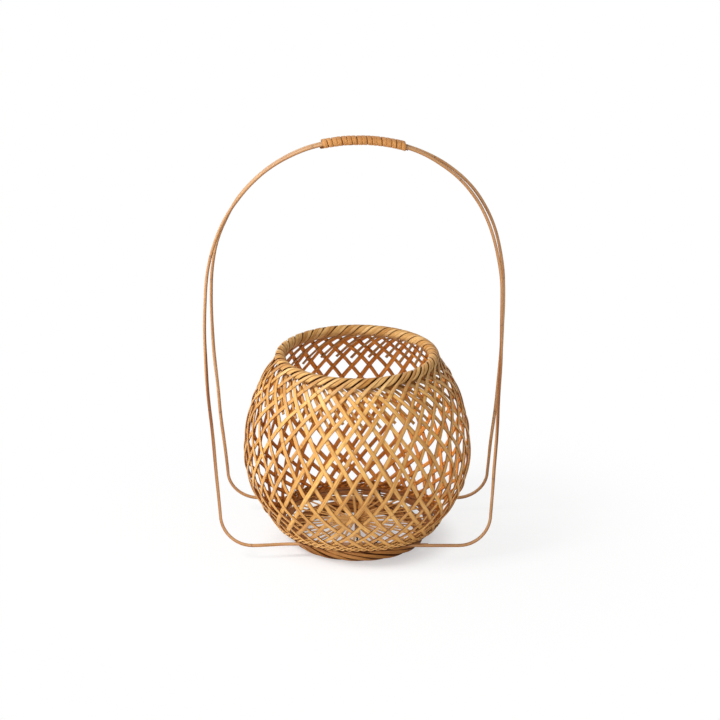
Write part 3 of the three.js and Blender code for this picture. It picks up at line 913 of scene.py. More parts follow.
@dataclass
class Rim(SubAssembly):
    """The rope rim: both families of strips wrapped round a hoop.

    Strips that lean right come up outside, go over the top and end inside as short tails.
    Strips that lean left come up inside, go over the top and end tucked under the rope outside.
    """

    SEED = 23
    SLOT = Slot.ROPE
    HOOP_SECTION = Section(sides=16, roundness=1.0)
    # near-black, as painted shade in the slits between the wraps
    hoop_shade_material: Material
    wall: Wall
    core: float = 2.9  # radius of the hoop inside
    lay: float = 3.55  # radius at which the wraps lie round the hoop's middle
    twist: float = 0.083  # wanted turn round the axis for each radian round the hoop
    outer: Wrap = Wrap(
        touch=21.0, leave=222.0, spread=4.0, stations=34, width=2.2, sway=(0.08, 20.0),
        section=Section(sides=12, roundness=0.45, crown=0.15))
    inner: Wrap = Wrap(
        touch=244.0, leave=-80.0, spread=6.0, stations=50, width=2.9, sway=(0.1, 24.0),
        section=Section(sides=12, roundness=0.5, crown=0.35))
    inside_swell: float = 0.65  # how much wider the wraps are on the inner side
    swell_bounds: Pair = (-0.1, 0.7)  # shares of the way inwards between which they widen
    thickness: float = 0.8
    tail: float = 28.0  # length down the wall at which the tails end inside
    tail_spread: Pair = (0.92, 1.08)  # shortest and longest tail's share of that
    tail_lift: float = 5.0  # length down the wall at which they come to lie on it
    tail_inset: float = 1.25  # distance of the tails from the middle of the weave
    tail_tone: float = 0.0
    tail_stations: int = 24
    beside: float = 0.42  # share of a pitch from a wrap from outside to the one from inside at its right
    rise_stations: int = 14  # from the weave to the hoop, and from the hoop to a lying tail
    hoop_stations: int = 181

    def __post_init__(self) -> None:
        """Brings the twist to the nearest one at which each wrap from inside lies beside one from outside."""
        super().__post_init__()
        pitch = FULL_TURN / self.wall.count
        arc = math.radians(self.inner.touch - self.outer.touch)
        rises = self.rise_length(self.outer.touch) + self.rise_length(self.inner.touch)
        turns = 2 * self.wall.turn_at(self.wall.end_run)
        fixed = turns + rises * self.wall.end_rate / 2 + self.beside * pitch
        slope = arc + rises / (2 * self.lay)
        miss = (fixed + slope * self.twist + pitch / 2) % pitch - pitch / 2
        self.twist -= miss / slope

    @property
    def rise_rate(self) -> float:
        """Turn round the axis for each length between the weave and the hoop."""
        return (self.wall.end_rate + self.twist / self.lay) / 2

    def hoop_place(self, angle: Values) -> tuple[Values, Values]:
        """Radius and height of a wrap at an angle round the hoop, in radians."""
        outline = self.wall.outline
        return outline.rim_radius + self.lay * np.cos(angle), outline.rim_height + self.lay * np.sin(angle)

    def hoop_direction(self, radius: float, angle: float) -> Array:
        """Direction of a wrap at an angle round the hoop: along the rim, outwards and up."""
        return unit(np.array([self.twist * radius, -self.lay * math.sin(angle), self.lay * math.cos(angle)]))

    def rise_length(self, touch: float) -> float:
        """Length, seen along the rim, from an arm's end to the hoop.

        Args:
            touch: Angle round the hoop where the arm meets it.

        Returns:
            The length.
        """
        radius, height = self.wall.outline.place(self.wall.end_run)
        far_radius, far_height = self.hoop_place(math.radians(touch))
        return math.hypot(far_radius - radius, far_height - height)

    def bridge(self, end: StripEnd, met: Array, angle: float) -> Array:
        """The stretch from the weave to the hoop.

        Args:
            end: Where the strip leaves the weave.
            met: Azimuth, radius, height and the two parts of the facing where it meets the hoop.
            angle: Angle round the hoop there, in radians.

        Returns:
            Rows like the one where it meets the hoop, without that one.
        """
        azimuth, reach, rise, far_out, far_up = met
        share = np.linspace(0, 1, self.rise_stations)[:-1]
        heading = end.lean.value
        radius, height, out, up = self.wall.outline.beside(self.wall.end_run, end.offset)
        start = np.array([end.azimuth * reach, radius, height])
        leaving = unit(np.array([heading * self.wall.end_rate * reach, -up, out]))
        arriving = heading * self.hoop_direction(reach, angle)
        line = soft_line(start, leaving, np.array([azimuth * reach, reach, rise]), arriving, share)
        eased = smoothstep(0, 1, share)
        return stack(line[:, 0] / reach, line[:, 1], line[:, 2],
                     blend(out, far_out, eased), blend(up, far_up, eased))

    def tail_rows(self, left: Array, angle: float) -> Array:
        """The tail of a strip inside, from the hoop down along the wall.

        Args:
            left: Azimuth, radius, height and the two parts of the facing where it leaves the hoop.
            angle: Angle round the hoop there, in radians.

        Returns:
            Rows like the one where it leaves the hoop, without that one.
        """
        azimuth, radius, height, far_out, far_up = left
        wall = self.wall
        longest = self.tail * self.rng.uniform(*self.tail_spread)
        run = wall.outline.length - np.linspace(self.tail_lift, longest, self.tail_stations)
        low_radius, low_height, out, up = wall.outline.beside(run, -self.tail_inset)
        landing = self.rise_rate * math.hypot(low_radius[0] - radius, low_height[0] - height)
        lying = azimuth + landing + wall.turn_at(run[0]) - wall.turn_at(run)
        last = np.array([landing * radius, low_radius[0], low_height[0]])
        arriving = unit(np.array([wall.end_rate * radius, up[0], -out[0]]))
        share = np.linspace(0, 1, self.rise_stations)[1:-1]
        leaving = self.hoop_direction(radius, angle)
        line = soft_line(np.array([0.0, radius, height]), leaving, last, arriving, share)
        eased = smoothstep(0, 1, share)
        drop = stack(azimuth + line[:, 0] / radius, line[:, 1], line[:, 2],
                     blend(far_out, -out[0], eased), blend(far_up, -up[0], eased))
        return np.vstack([drop, stack(lying, low_radius, low_height, -out, -up)])

    def wrap_body(self, end: StripEnd) -> Body:
        """One strip's wrap: up to the hoop, over it and down to its end.

        Args:
            end: Where the strip leaves the weave.

        Returns:
            The wrap, which goes from the wall strip's size to its own.
        """
        heading = end.lean.value
        wrap = self.outer if end.lean is Lean.RIGHT else self.inner
        touch = math.radians(wrap.touch)
        leave = math.radians(wrap.leave + self.rng.uniform(-wrap.spread, wrap.spread))
        around = np.linspace(touch, leave, wrap.stations)
        met = end.azimuth + heading * self.rise_rate * self.rise_length(wrap.touch)
        over = stack(met + self.twist * (around - touch), *self.hoop_place(around),
                     heading * np.cos(around), heading * np.sin(around))
        rows = [self.bridge(end, over[0], touch), over]
        if end.lean is Lean.RIGHT:
            rows.append(self.tail_rows(over[-1], leave))
        places = np.vstack(rows).T
        station = np.arange(places.shape[1])
        share = smoothstep(0, self.rise_stations, station)
        inward = self.wall.outline.rim_radius - places[1]
        upward = places[2] - self.wall.outline.rim_height
        inside = smoothstep(*self.swell_bounds, inward / np.hypot(inward, upward))
        widths = blend(self.wall.width, wrap.width + self.inside_swell * inside, share)
        widths = widths + self.sway(*wrap.sway, station) * share
        thicknesses = blend(self.wall.thickness, self.thickness, share)
        tones = np.full(len(station), end.tone)
        if end.lean is Lean.RIGHT:
            tones[self.rise_stations + wrap.stations:] = self.tail_tone
        course = Course.round_axis(tuple(places), widths, thicknesses)
        return Body(course, wrap.section, tones, end.grain, heading)

    def build(self) -> None:
        """Makes all the wraps, and the hoop inside the rope, near-black as painted shade in the slits between
        them.
        """
        LOG.info("rim twist %.4f", self.twist)
        self.make_piece("rim_wraps", [self.wrap_body(end) for end in self.wall.ends], "rim_rope")
        outline = self.wall.outline
        places = (circle(self.hoop_stations, REAR_SEAM), outline.rim_radius, outline.rim_height, 1.0, 0.0)
        hoop = Body(Course.round_axis(places, 2 * self.core, 2 * self.core), self.HOOP_SECTION, 0.0)
        self.make_piece("rim_hoop", [hoop], "rim_rope", material=self.hoop_shade_material)


@dataclass
class Floor(SubAssembly):
    """The floor: split strips that cross in the middle and fan out to the wall."""

    SEED = 37
    SLOT = Slot.FLOOR
    SECTION = Section(sides=10, roundness=0.4)
    height: float = 12.95  # of the strips' middle over the bars
    end_radius: float = 59.76  # at which the strips end
    count: int = 9
    width: float = 4.0
    split: float = 0.08  # how much narrower than half a strip each half is
    thickness: float = 0.5
    level_step: float = 0.65  # height from one strip to the next where they cross
    pile_radius: float = 11.8  # of the crossing
    flat_radius: float = 39.7  # at which all strips are at one level
    fan: float = 3.0  # angle at which the two halves of a strip part
    fan_spread: float = 0.8
    side_sway: Pair = (0.15, 60.0)  # size and wavelength
    height_sway: Pair = (0.06, 40.0)
    widest: float = 0.2  # how much wider a half can be outside the crossing
    tones: Pair = (0.2, 0.9)  # darkest and lightest shade
    stations: int = 81

    def half_course(self, index: int, half: int) -> Course:
        """The course of one half of a strip, right across the floor.

        Args:
            index: The strip's number, from 0.
            half: 1 or -1, for the two halves.

        Returns:
            The course.
        """
        along = np.linspace(-self.end_radius, self.end_radius, self.stations)
        away = np.abs(along)
        pile = (index - (self.count - 1) / 2) * self.level_step
        height = self.height + pile * (1 - smoothstep(self.pile_radius, self.flat_radius, away))
        lean = self.fan + self.rng.uniform(-self.fan_spread, self.fan_spread)
        spread = np.maximum(away - self.pile_radius, 0) * math.tan(math.radians(lean))
        across = half * (self.width / 4 + spread) + self.sway(*self.side_sway, along)
        azimuth = math.radians(90 + index * 180 / self.count)
        points = stack(
            along * math.cos(azimuth) - across * math.sin(azimuth),
            along * math.sin(azimuth) + across * math.cos(azimuth),
            height + self.sway(*self.height_sway, along))
        wider = 1 + self.rng.uniform(0, self.widest) * (away > self.pile_radius)
        widths = (self.width / 2 - self.split) * wider
        return Course(points, stack(0.0 * along, 0.0, 1.0), widths, self.thickness)

    def build(self) -> None:
        """Lays all the floor strips."""
        for index in range(self.count):
            node = f"floor_strip_{index + 1}"
            halves = []
            for half in (1, -1):
                tone = self.shade()
                halves.append(Body(self.half_course(index, half), self.SECTION, tone))
            self.make_piece(f"split_{node}", halves, node)


@dataclass
class FloorBorder(SubAssembly):
    """The woven border of the floor: thin strips that run round it, over and under the floor strips."""

    SEED = 39
    SLOT = Slot.FLOOR
    SECTION = Section(sides=10, roundness=0.4)
    floor: Floor
    first_radius: float = 52.0  # of the innermost strip
    step: float = 2.15  # from one strip to the next
    count: int = 5
    width: float = 2.3
    thickness: float = 0.5
    gap: float = 0.05  # between the strips that cross
    wave_power: int = 3  # how long the strips stay level between the floor strips
    side_sway: float = 0.12
    side_waves: int = 7
    corner_radius: float = 60.2  # of the strip in the corner between the floor and the wall
    corner_rise: float = 1.55  # how far that strip lies above the floor
    corner_sway: Pair = (0.15, FULL_TURN / 5)  # size and wavelength, in radians
    # dark, as painted shade in the corner under the wall's folds
    corner_tone: float = 0.15
    stations: int = 361

    def ring(self, index: int) -> Body:
        """One strip round the floor.

        Args:
            index: The strip's number, from the inside.

        Returns:
            The strip.
        """
        azimuth = circle(self.stations)
        radius = self.first_radius + index * self.step
        swing = (self.floor.thickness + self.thickness) / 2 + self.gap
        wave = np.cos(self.floor.count * azimuth + math.pi / 2) ** self.wave_power
        height = self.floor.height + swing * (math.copysign(1, index % 2 - 0.5) * wave)
        radii = radius + self.sway(self.side_sway, FULL_TURN * radius / self.side_waves, azimuth * radius)
        course = Course.round_axis((azimuth, radii, height, 0.0, 1.0), self.width, self.thickness)
        return Body(course, self.SECTION, self.shade())

    def corner(self) -> Body:
        """The strip that leans in the corner, under the wall's folds.

        Returns:
            The strip.
        """
        azimuth = circle(self.stations)
        height = self.floor.height + self.corner_rise + self.sway(*self.corner_sway, azimuth)
        places = (azimuth, self.corner_radius, height, -1.0, 1.0)
        course = Course.round_axis(places, self.width, self.thickness)
        return Body(course, self.SECTION, self.corner_tone)

    def build(self) -> None:
        """Weaves the strips into the floor."""
        rings = [self.ring(index) for index in range(self.count)]
        self.make_piece("floor_border", [*rings, self.corner()])


@dataclass
class BaseBand(SubAssembly):
    """The twined rows at the wall's foot: pairs of fine strips that cross between the wall strips."""

    SEED = 43
    SECTION = Section(sides=8, roundness=0.5, crown=0.3)
    wall: Wall
    first_run: float = 0.6  # length up the wall at which the lowest row lies
    step: float = 2.0  # length from one row to the next
    rows: int = 3
    width: float = 1.45
    thickness: float = 0.7
    swing: float = 1.0  # how far a strip goes in and out as it passes the wall strips
    rise: float = 0.55  # how far it goes up and down
    level_sway: Pair = (0.3, FULL_TURN / 9)  # size and wavelength, in radians
    width_sway: Pair = (0.12, FULL_TURN / 23)
    tones: Pair = (0.55, 1.0)  # darkest and lightest shade
    wave_stations: int = 14

    def strip(self, row: int, half: int) -> Body:
        """One strip of a row.

        Args:
            row: The row's number, from the lowest.
            half: 0 or 1, for the two strips of the pair.

        Returns:
            The strip.
        """
        waves = self.wall.count
        azimuth = circle(waves * self.wave_stations + 1)
        phase = waves * azimuth + math.pi * (half + row / 2)
        level = self.first_run + row * self.step + self.sway(*self.level_sway, azimuth)
        run = np.maximum(level + self.rise * np.sin(phase), 0)
        widths = self.width * (1 + self.sway(*self.width_sway, azimuth))
        places = (azimuth, *self.wall.outline.beside(run, self.swing * np.cos(phase)))
        course = Course.round_axis(places, widths, self.thickness)
        return Body(course, self.SECTION, self.shade())

    def build(self) -> None:
        """Twines all the rows."""
        self.make_piece("base_band", [self.strip(row, half) for row in range(self.rows) for half in (0, 1)])


@dataclass
class Foot(SubAssembly):
    """The foot ring: long strips twisted slowly round a core."""

    SEED = 41
    SLOT = Slot.ROPE
    SECTION = Section(sides=14, roundness=0.6, crown=0.25)
    # near-black, as painted shade in the slits between the strands
    core_shade_material: Material
    outer_radius: float
    height: float
    width: float = 7.4  # of the ring's cut
    shift: float = 0.8  # how far the ring sits right of the middle
    fullness: float = 0.6  # 1 makes the cut an oval, and smaller values give it fuller corners
    strands: int = 7
    turns: float = 18 / 7  # round the core on one trip round the ring
    strand_thickness: float = 1.9
    cover: float = 1.03  # share of the ring's surface that the strips cover
    slit: float = 0.34  # how much narrower the strips are where slits open between them
    slit_angle: float = -48.0  # angle round the core at which the slits are widest
    slit_power: int = 4  # how narrow that place is
    lap_sway: float = 0.01  # in turns round the core
    width_sway: Pair = (0.06, 46.0)  # size and wavelength
    tones: Pair = (0.15, 0.9)  # darkest and lightest shade
    core_lap: float = 0.6  # how far the core reaches into the strips, on both sides together
    core_sides: int = 16
    cut_stations: int = 721
    strand_stations: int = 361
    core_stations: int = 121

    @property
    def ring(self) -> float:
        """Radius of the middle of the ring's cut."""
        return self.outer_radius - self.width / 2

    def cut_outline(self) -> tuple[Array, Array]:
        """The line on which the strips lie in the ring's cut.

        Returns:
            Length run from the outermost place upwards, and a table of places from the cut's middle and of
            the directions that they face.
        """
        half = (np.array([self.width, self.height]) - self.strand_thickness) / 2
        angle = circle(self.cut_stations)
        round_cut = stack(np.cos(angle), np.sin(angle))
        places = half * signed_power(round_cut, self.fullness)
        facings = unit(signed_power(round_cut, 2 - self.fullness) / half)
        return run_lengths(places), np.hstack([places, facings])

    def strand(self, index: int) -> Body:
        """One strip round the ring.

        Args:
            index: The strip's number, from 0.

        Returns:
            The strip, flat where it stands on the ground.
        """
        cut_run, cut = self.cut_outline()
        azimuth = circle(self.strand_stations, REAR_SEAM)
        run = azimuth * self.ring
        lap = self.sway(self.lap_sway, FULL_TURN * self.ring, run)
        spot = (index / self.strands - self.turns * azimuth / FULL_TURN + lap) % 1
        away, rise, out, up = look_up(spot, cut_run / cut_run[-1], cut)
        low = math.radians(self.slit_angle)
        facing_low = np.maximum(out * math.cos(low) + up * math.sin(low), 0)
        uneven = self.sway(*self.width_sway, run)
        widths = cut_run[-1] / self.strands * (self.cover - self.slit * facing_low**self.slit_power + uneven)
        places = (azimuth, self.ring + away, self.height / 2 + rise, out, up)
        course = Course.round_axis(places, widths, self.strand_thickness, self.shift)
        return Body(course, self.SECTION, self.shade(), ground=0.0)

    def build(self) -> None:
        """Makes the strips and the core, near-black as painted shade in the slits between them."""
        self.make_piece("foot_strands", [self.strand(index) for index in range(self.strands)], "foot_ring")
        inset = 2 * self.strand_thickness - self.core_lap
        places = (circle(self.core_stations, REAR_SEAM), self.ring, self.height / 2, 1.0, 0.0)
        course = Course.round_axis(places, self.height - inset, self.width - inset, self.shift)
        core = Body(course, Section(self.core_sides, self.fullness), 0.0)
        self.make_piece("foot_core", [core], "foot_ring", material=self.core_shade_material)


@dataclass(frozen=True)
class Bend:
    """How far one leg of a loop is bent off its even shape."""

    heights: tuple[float, ...]  # from the lowest
    shifts: tuple[float, ...]  # to the right, at those heights

    def at(self, height: Array) -> Array:
        """Eases between the given shifts.

        Args:
            height: Heights on the leg.

        Returns:
            One shift to the right per height.
        """
        number = np.arange(len(self.heights))
        place = np.interp(height, self.heights, number)
        below = np.floor(place)
        return np.interp(below + smoothstep(0, 1, place - below), number, self.shifts)


@dataclass
class Handle(SubAssembly):
    """The handle: two rods, each bent into a tall loop whose ends lap on the bottom bar."""

    SEED = 53
    SLOT = Slot.ROD
    SECTION = Section(sides=14, roundness=0.8)
    top: float  # height of the rods' middle at the top
    half_span: float  # half of the widest span
    shift: float  # how far the front loop lies left of the middle and the rear loop right of it
    bar_offset: float  # distance of the bars from the middle
    bar_height: float
    rod: float = 2.5  # diameter
    flatness: float = 0.95  # thickness as a share of the width
    spring: float = 203.0  # height at which the arch starts
    foot_half_span: float = 102.0  # half of the span at the bottom corners
    corner: float = 24.0  # radius of the bottom corners
    flare: float = 4.5  # how far the sides bow out above the corners
    top_offset: float = 2.2  # distance of a rod from the middle under the winding
    join_height: float = 268.0  # at which the two rods part
    meet_heights: Pair = (313.0, 275.0)  # at which a loop comes to the middle, on the right and the left
    meet_rises: Pair = (15.0, 25.0)  # over which it comes there
    flat_drop: float = 1.4  # how much lower the arch's top lies than on an even arch
    flat_reach: float = 38.0  # how far from the middle the arch is lowered
    lean: float = 1.7  # how far the arch's top leans to the right
    rear_reach: float = 4.0  # how much farther from the middle the rear bar lies than the front bar
    hidden_end: float = -20.0  # place along the bar where the outer end lies
    open_end: float = 55.0  # place along the bar where the lapped end lies
    lap_shift: float = 2.8  # how far the lapped end moves inwards
    lap_run: float = 30.0  # length over which it moves
    sway_size: float = 0.4
    sway_lengths: Pair = (210.0, 170.0)  # wavelengths along X and Y
    free_rise: Pair = (10.0, 60.0)  # heights over the bar between which a rod starts to sway
    free_drop: Pair = (30.0, 12.0)  # depths under the top between which it stops
    bend_from: Pair = (20.0, 80.0)  # distances from the middle between which a bend starts
    swell: Pair = (0.03, 70.0)  # size and wavelength
    taper_run: float = 25.0  # length of rod for a full taper to a point
    taper_least: float = 0.45
    tones: Pair = (0.45, 0.6)  # darkest and lightest shade
    bar_stations: int = 30
    corner_stations: int = 13
    side_stations: int = 40
    arch_stations: int = 60
    arch_steps: int = 721  # at which the arch is worked out
    lap_stations: int = 60
    bends: dict[Side, tuple[Bend, Bend]] = field(default_factory=lambda: {
        Side.FRONT: (
            Bend((70, 165, 235, 275, 312), (0, -2.0, 0.8, 0.6, 0)),
            Bend((75, 140, 225, 285), (0, -2.2, -3.1, 0))),
        Side.REAR: (
            Bend((0, 100, 150, 235, 275, 312), (0.6, 0.6, 0, 0.8, 0.6, 0)),
            Bend((0, 60, 140, 225, 285), (-2.6, -2.2, -2.2, -3.1, 0)))})  # left and right leg
    arch: Array = field(init=False)
    arch_run: Array = field(init=False)

    def __post_init__(self) -> None:
        """Works out the arch from right to left, with its facing, and the length along it from the top."""
        super().__post_init__()
        angle = np.linspace(0, math.pi, self.arch_steps)
        x = self.half_span * np.cos(angle)
        drop = self.flat_drop * np.exp(-((x / self.flat_reach) ** 2))
        line = stack(x, self.spring + (self.top - self.spring) * np.sin(angle) - drop)
        tangent = unit(np.gradient(line, axis=0))
        self.arch = np.hstack([line, stack(tangent[:, 1], -tangent[:, 0])])
        run = run_lengths(line)
        self.arch_run = run - run[-1] / 2

    def arch_place(self, run: Array) -> Array:
        """X, height and the two parts of the facing on the arch, by the length left of the top."""
        return look_up(run, self.arch_run, self.arch)

    def side_offset(self, side: Side) -> float:
        """Distance of a side's bar from the middle."""
        return self.bar_offset + (self.rear_reach if side is Side.REAR else 0.0)

    def offset_at(self, height: Array, side: Side) -> Array:
        """Distance of a side's rod from the middle at a height."""
        share = np.maximum(self.join_height - height, 0) / (self.join_height - self.bar_height)
        return blend(self.top_offset, self.side_offset(side), share)

    def lean_at(self, height: Array) -> Array:
        """How far the arch leans to the right at a height."""
        return self.lean * np.clip((height - self.spring) / (self.top - self.spring), 0, 1)

    def half_loop(self) -> Array:
        """Half of a loop's outline.

        Returns:
            X and height from the right corner up to the top.
        """
        turn = np.linspace(-math.pi / 2, 0, self.corner_stations)
        corner_top = self.bar_height + self.corner
        corner_x = self.foot_half_span - self.corner + self.corner * np.cos(turn)
        third = (self.spring - corner_top) / 3
        side = bezier(
            np.array([self.foot_half_span, corner_top]),
            np.array([self.foot_half_span + self.flare, corner_top + third]),
            np.array([self.half_span, self.spring - third]),
            np.array([self.half_span, self.spring]),
            np.linspace(0, 1, self.side_stations)[1:])
        quarter = self.arch_place(np.linspace(self.arch_run[0], 0, self.arch_stations)[1:])[:2].T
        return np.vstack([stack(corner_x, corner_top + self.corner * np.sin(turn)), side, quarter])

    def loop_course(self, side: Side) -> Course:
        """The course of one rod, shaped as the front one and turned round for the rear.

        Args:
            side: The loop at the front or at the rear.

        Returns:
            The course.
        """
        half = self.half_loop()
        mirrored = half[-2::-1] * [-1, 1]
        bar_x = np.linspace(self.hidden_end, half[0, 0], self.bar_stations)[:-1]
        lap_start = mirrored[-1, 0]
        lap_x = np.linspace(lap_start, self.open_end, self.lap_stations)[1:]
        outline = np.vstack([stack(bar_x, self.bar_height), half, mirrored, stack(lap_x, self.bar_height)])
        x, height = outline.T
        offset = self.offset_at(height, side)
        offset[-len(lap_x):] -= self.lap_shift * smoothstep(lap_start, lap_start + self.lap_run, lap_x)
        run = run_lengths(outline)
        low, high = self.free_rise
        free = smoothstep(self.bar_height + low, self.bar_height + high, height)
        low, high = self.free_drop
        free = free * (1 - smoothstep(self.top - low, self.top - high, height))
        sway_x, sway_y = (self.sway(self.sway_size, length, run) * free for length in self.sway_lengths)
        right = x * -side.value > 0
        meet = np.where(right, *self.meet_heights)
        sway_x -= self.shift * (1 - smoothstep(meet - np.where(right, *self.meet_rises), meet, height))
        tangent = unit(np.gradient(outline, axis=0))
        turned = [-side.value, -side.value, 1]
        points = stack(x + sway_x, sway_y - offset, height) * turned
        facings = stack(tangent[:, 1], 0.0, -tangent[:, 0]) * turned
        return self.bent_course(side, points, facings, run)

    def bent_course(self, side: Side, points: Array, facings: Array, run: Array) -> Course:
        """A rod's course with its legs bent and its cut swelling, tapering and turning over.

        Args:
            side: The loop at the front or at the rear.
            points: Middle of the even rod.
            facings: Directions that its outer face looks.
            run: Lengths along it.

        Returns:
            The course.
        """
        x, _, height = points.T
        left_leg, right_leg = self.bends[side]
        bent = np.where(x > 0, right_leg.at(height), left_leg.at(height))
        points[:, 0] += bent * smoothstep(*self.bend_from, np.abs(x)) + self.lean_at(height)
        taper = np.clip((run[-1] - run) / self.taper_run, self.taper_least, 1)
        widths = self.rod * (1 + self.sway(*self.swell, run)) * taper
        # the half turn at the bars puts the pale outer face up and the dark inner face, painted shade, down
        half_twist = math.pi * (1 - smoothstep(self.bar_height + self.corner, self.spring, height))
        return Course(points, facings, widths, self.flatness * widths, half_twist)

    def build(self) -> None:
        """Bends both loops."""
        for side in Side:
            node = f"handle_loop_{side.name.lower()}"
            body = Body(self.loop_course(side), self.SECTION, self.shade())
            self.make_piece(f"bent_{node}", [body], node)


@dataclass
class Grip(SubAssembly):
    """The grip: a rattan strip wound round both rods at the top of the handle."""

    SEED = 61
    SLOT = Slot.RATTAN
    SECTION = Section(sides=14, roundness=0.42, crown=0.15)
    END_SECTION = Section(sides=10, roundness=0.6)
    handle: Handle
    turns: int = 17
    pitch: float = 3.65  # from one turn to the next
    width: float = 3.5
    thickness: float = 1.15
    shift: float = 3.6  # how far the winding lies right of the top's middle
    slack: float = 0.4  # gap between the rods and the strip
    along_sway: Pair = (0.16, 2.6)  # size, and wavelength in turns
    bulge_sway: Pair = (0.12, 1.7)
    width_sway: Pair = (0.12, 1.9)
    tone: float = 0.5
    turn_stations: int = 28
    tuck_hidden: float = 7.0  # length of a tucked end inside the winding
    tuck_bare: float = 2.6  # length of it outside
    tuck_bend: float = 1.0  # where it starts to bend, inside the winding's end
    tuck_gap: float = 0.25  # from the rods to its middle
    tuck_drop: float = 0.5  # how far it bends away from them
    tuck_width: float = 2.6
    tuck_thickness: float = 1.1
    tuck_tone: float = 0.35
    tuck_stations: int = 16

    def winding_course(self) -> Course:
        """The course of the strip, wound as a long loop round the two rods.

        Returns:
            The course.
        """
        handle = self.handle
        reach = handle.rod / 2 + self.slack + self.thickness / 2
        flat = 2 * handle.top_offset
        perimeter = FULL_TURN * reach + 2 * flat
        wound = np.linspace(-flat, self.turns * perimeter, self.turns * self.turn_stations)
        place = wound % perimeter
        arc = math.pi * reach
        first = np.clip(place / arc, 0, 1) * math.pi - math.pi / 2
        angle = first + np.clip((place - arc - flat) / arc, 0, 1) * math.pi
        straight_top = np.clip(place - arc, 0, flat)
        straight_low = np.clip(place - 2 * arc - flat, 0, flat)
        uneven, bulge, wider = (
            self.sway(size, turns * perimeter, wound)
            for size, turns in (self.along_sway, self.bulge_sway, self.width_sway))
        along = self.shift - self.turns * self.pitch / 2 + self.pitch * wound / perimeter + uneven
        x, z, out_x, out_z = handle.arch_place(-along)
        upward = (reach + np.abs(bulge)) * np.sin(angle)
        across = handle.top_offset - straight_top + straight_low + (reach + np.abs(bulge)) * np.cos(angle)
        points = stack(x + handle.lean_at(z) + out_x * upward, across, z + out_z * upward)
        facings = stack(out_x * np.sin(angle), np.cos(angle), out_z * np.sin(angle))
        return Course(points, facings, self.width + wider, self.thickness)

    def tucked_end(self, end: int) -> Course:
        """The course of a tucked end under the rods.

        Args:
            end: 1 at the right end of the winding, -1 at the left.

        Returns:
            The course.
        """
        half = self.turns * self.pitch / 2
        last = half + self.tuck_bare
        run = np.linspace(half - self.tuck_hidden, last, self.tuck_stations)
        x, z, out_x, out_z = self.handle.arch_place(-(self.shift + end * run))
        bent = self.tuck_drop * smoothstep(half - self.tuck_bend, last, run)
        depth = self.handle.rod / 2 + self.tuck_gap + bent
        points = stack(x + self.handle.lean_at(z) - out_x * depth, 0.0, z - out_z * depth)
        return Course(points, stack(-out_x, 0.0, -out_z), self.tuck_width, self.tuck_thickness)

    def build(self) -> None:
        """Winds the strip and tucks its ends."""
        bodies = [Body(self.winding_course(), self.SECTION, self.tone)]
        for end in (-1, 1):
            bodies.append(Body(self.tucked_end(end), self.END_SECTION, self.tuck_tone))
        self.make_piece("wound_grip", bodies, "grip_binding")


@dataclass
class Ties(SubAssembly):
    """The wire ties: loops round the bar, the floor and the foot ring, with twisted ends inside."""

    SLOT = Slot.WIRE
    SECTION = Section(sides=8, roundness=1.0)
    handle: Handle
    floor_top: float = 13.2  # height of the floor strips' upper face
    floor_gap: float = 0.15  # from that face to the wire
    low: float = 6.6  # height of the wire inside the foot ring
    reach: float = 4.7  # half of the loop's span
    loop_roundness: float = 0.5  # 1 makes the loop an oval, and smaller values fuller corners
    opening: float = 0.12  # half of the angle at which the loop is open, in radians
    wire: float = 0.8  # diameter
    tail: float = 3.9  # height of the twisted ends
    tail_gap: float = 0.5  # from the loop to where they start
    twists: float = 1.25
    twist_radius: float = 0.46
    turn: float = 45.0  # angle between a tie and its bar
    tone: float = 0.5
    facing_rise: float = 0.02  # keeps the cut's facing off the wire's own direction
    loop_stations: int = 60
    tail_stations: int = 24
    arms: dict[str, float] = field(default_factory=lambda: {  # direction of the floor strip at each tie
        "tie_front_1": 270.0, "tie_front_2": 290.0, "tie_rear_1": 90.0, "tie_rear_2": 70.0})

    def wire_course(self, direction: float) -> Course:
        """The course of one wire, from one twisted end round the loop to the other.

        Args:
            direction: Direction of the floor strip that the tie holds.

        Returns:
            The course.
        """
        over = self.floor_top + self.wire / 2 + self.floor_gap
        start = math.pi / 2
        angle = np.linspace(start - self.opening, start - FULL_TURN + self.opening, self.loop_stations)
        loop_x = self.reach * signed_power(np.cos(angle), self.loop_roundness)
        rise = (over - self.low) / 2 * signed_power(np.sin(angle), self.loop_roundness)
        loop_z = (over + self.low) / 2 + rise
        climb = np.linspace(0, 1, self.tail_stations)
        twist = climb * FULL_TURN * self.twists
        up = stack(self.twist_radius * np.cos(twist), self.twist_radius * np.sin(twist),
                   over + self.tail_gap + climb * self.tail)
        x, y, z = np.vstack([up[::-1], stack(loop_x, 0.0, loop_z), up * [-1, -1, 1]]).T
        side = Side(round(math.copysign(1, math.sin(math.radians(direction)))))
        turn = -side.value * math.radians(self.turn)
        middle_y = side.value * (self.handle.side_offset(side) - self.handle.lap_shift / 2)
        middle_x = middle_y / math.tan(math.radians(direction))
        points = stack(
            middle_x + x * math.cos(turn) - y * math.sin(turn),
            middle_y + x * math.sin(turn) + y * math.cos(turn), z)
        facings = stack(0 * x - math.sin(turn), math.cos(turn), self.facing_rise)
        return Course(points, facings, self.wire, self.wire)

    def build(self) -> None:
        """Bends all the ties."""
        for node, direction in self.arms.items():
            wire = Body(self.wire_course(direction), self.SECTION, self.tone)
            self.make_piece(f"twisted_{node}", [wire], node)


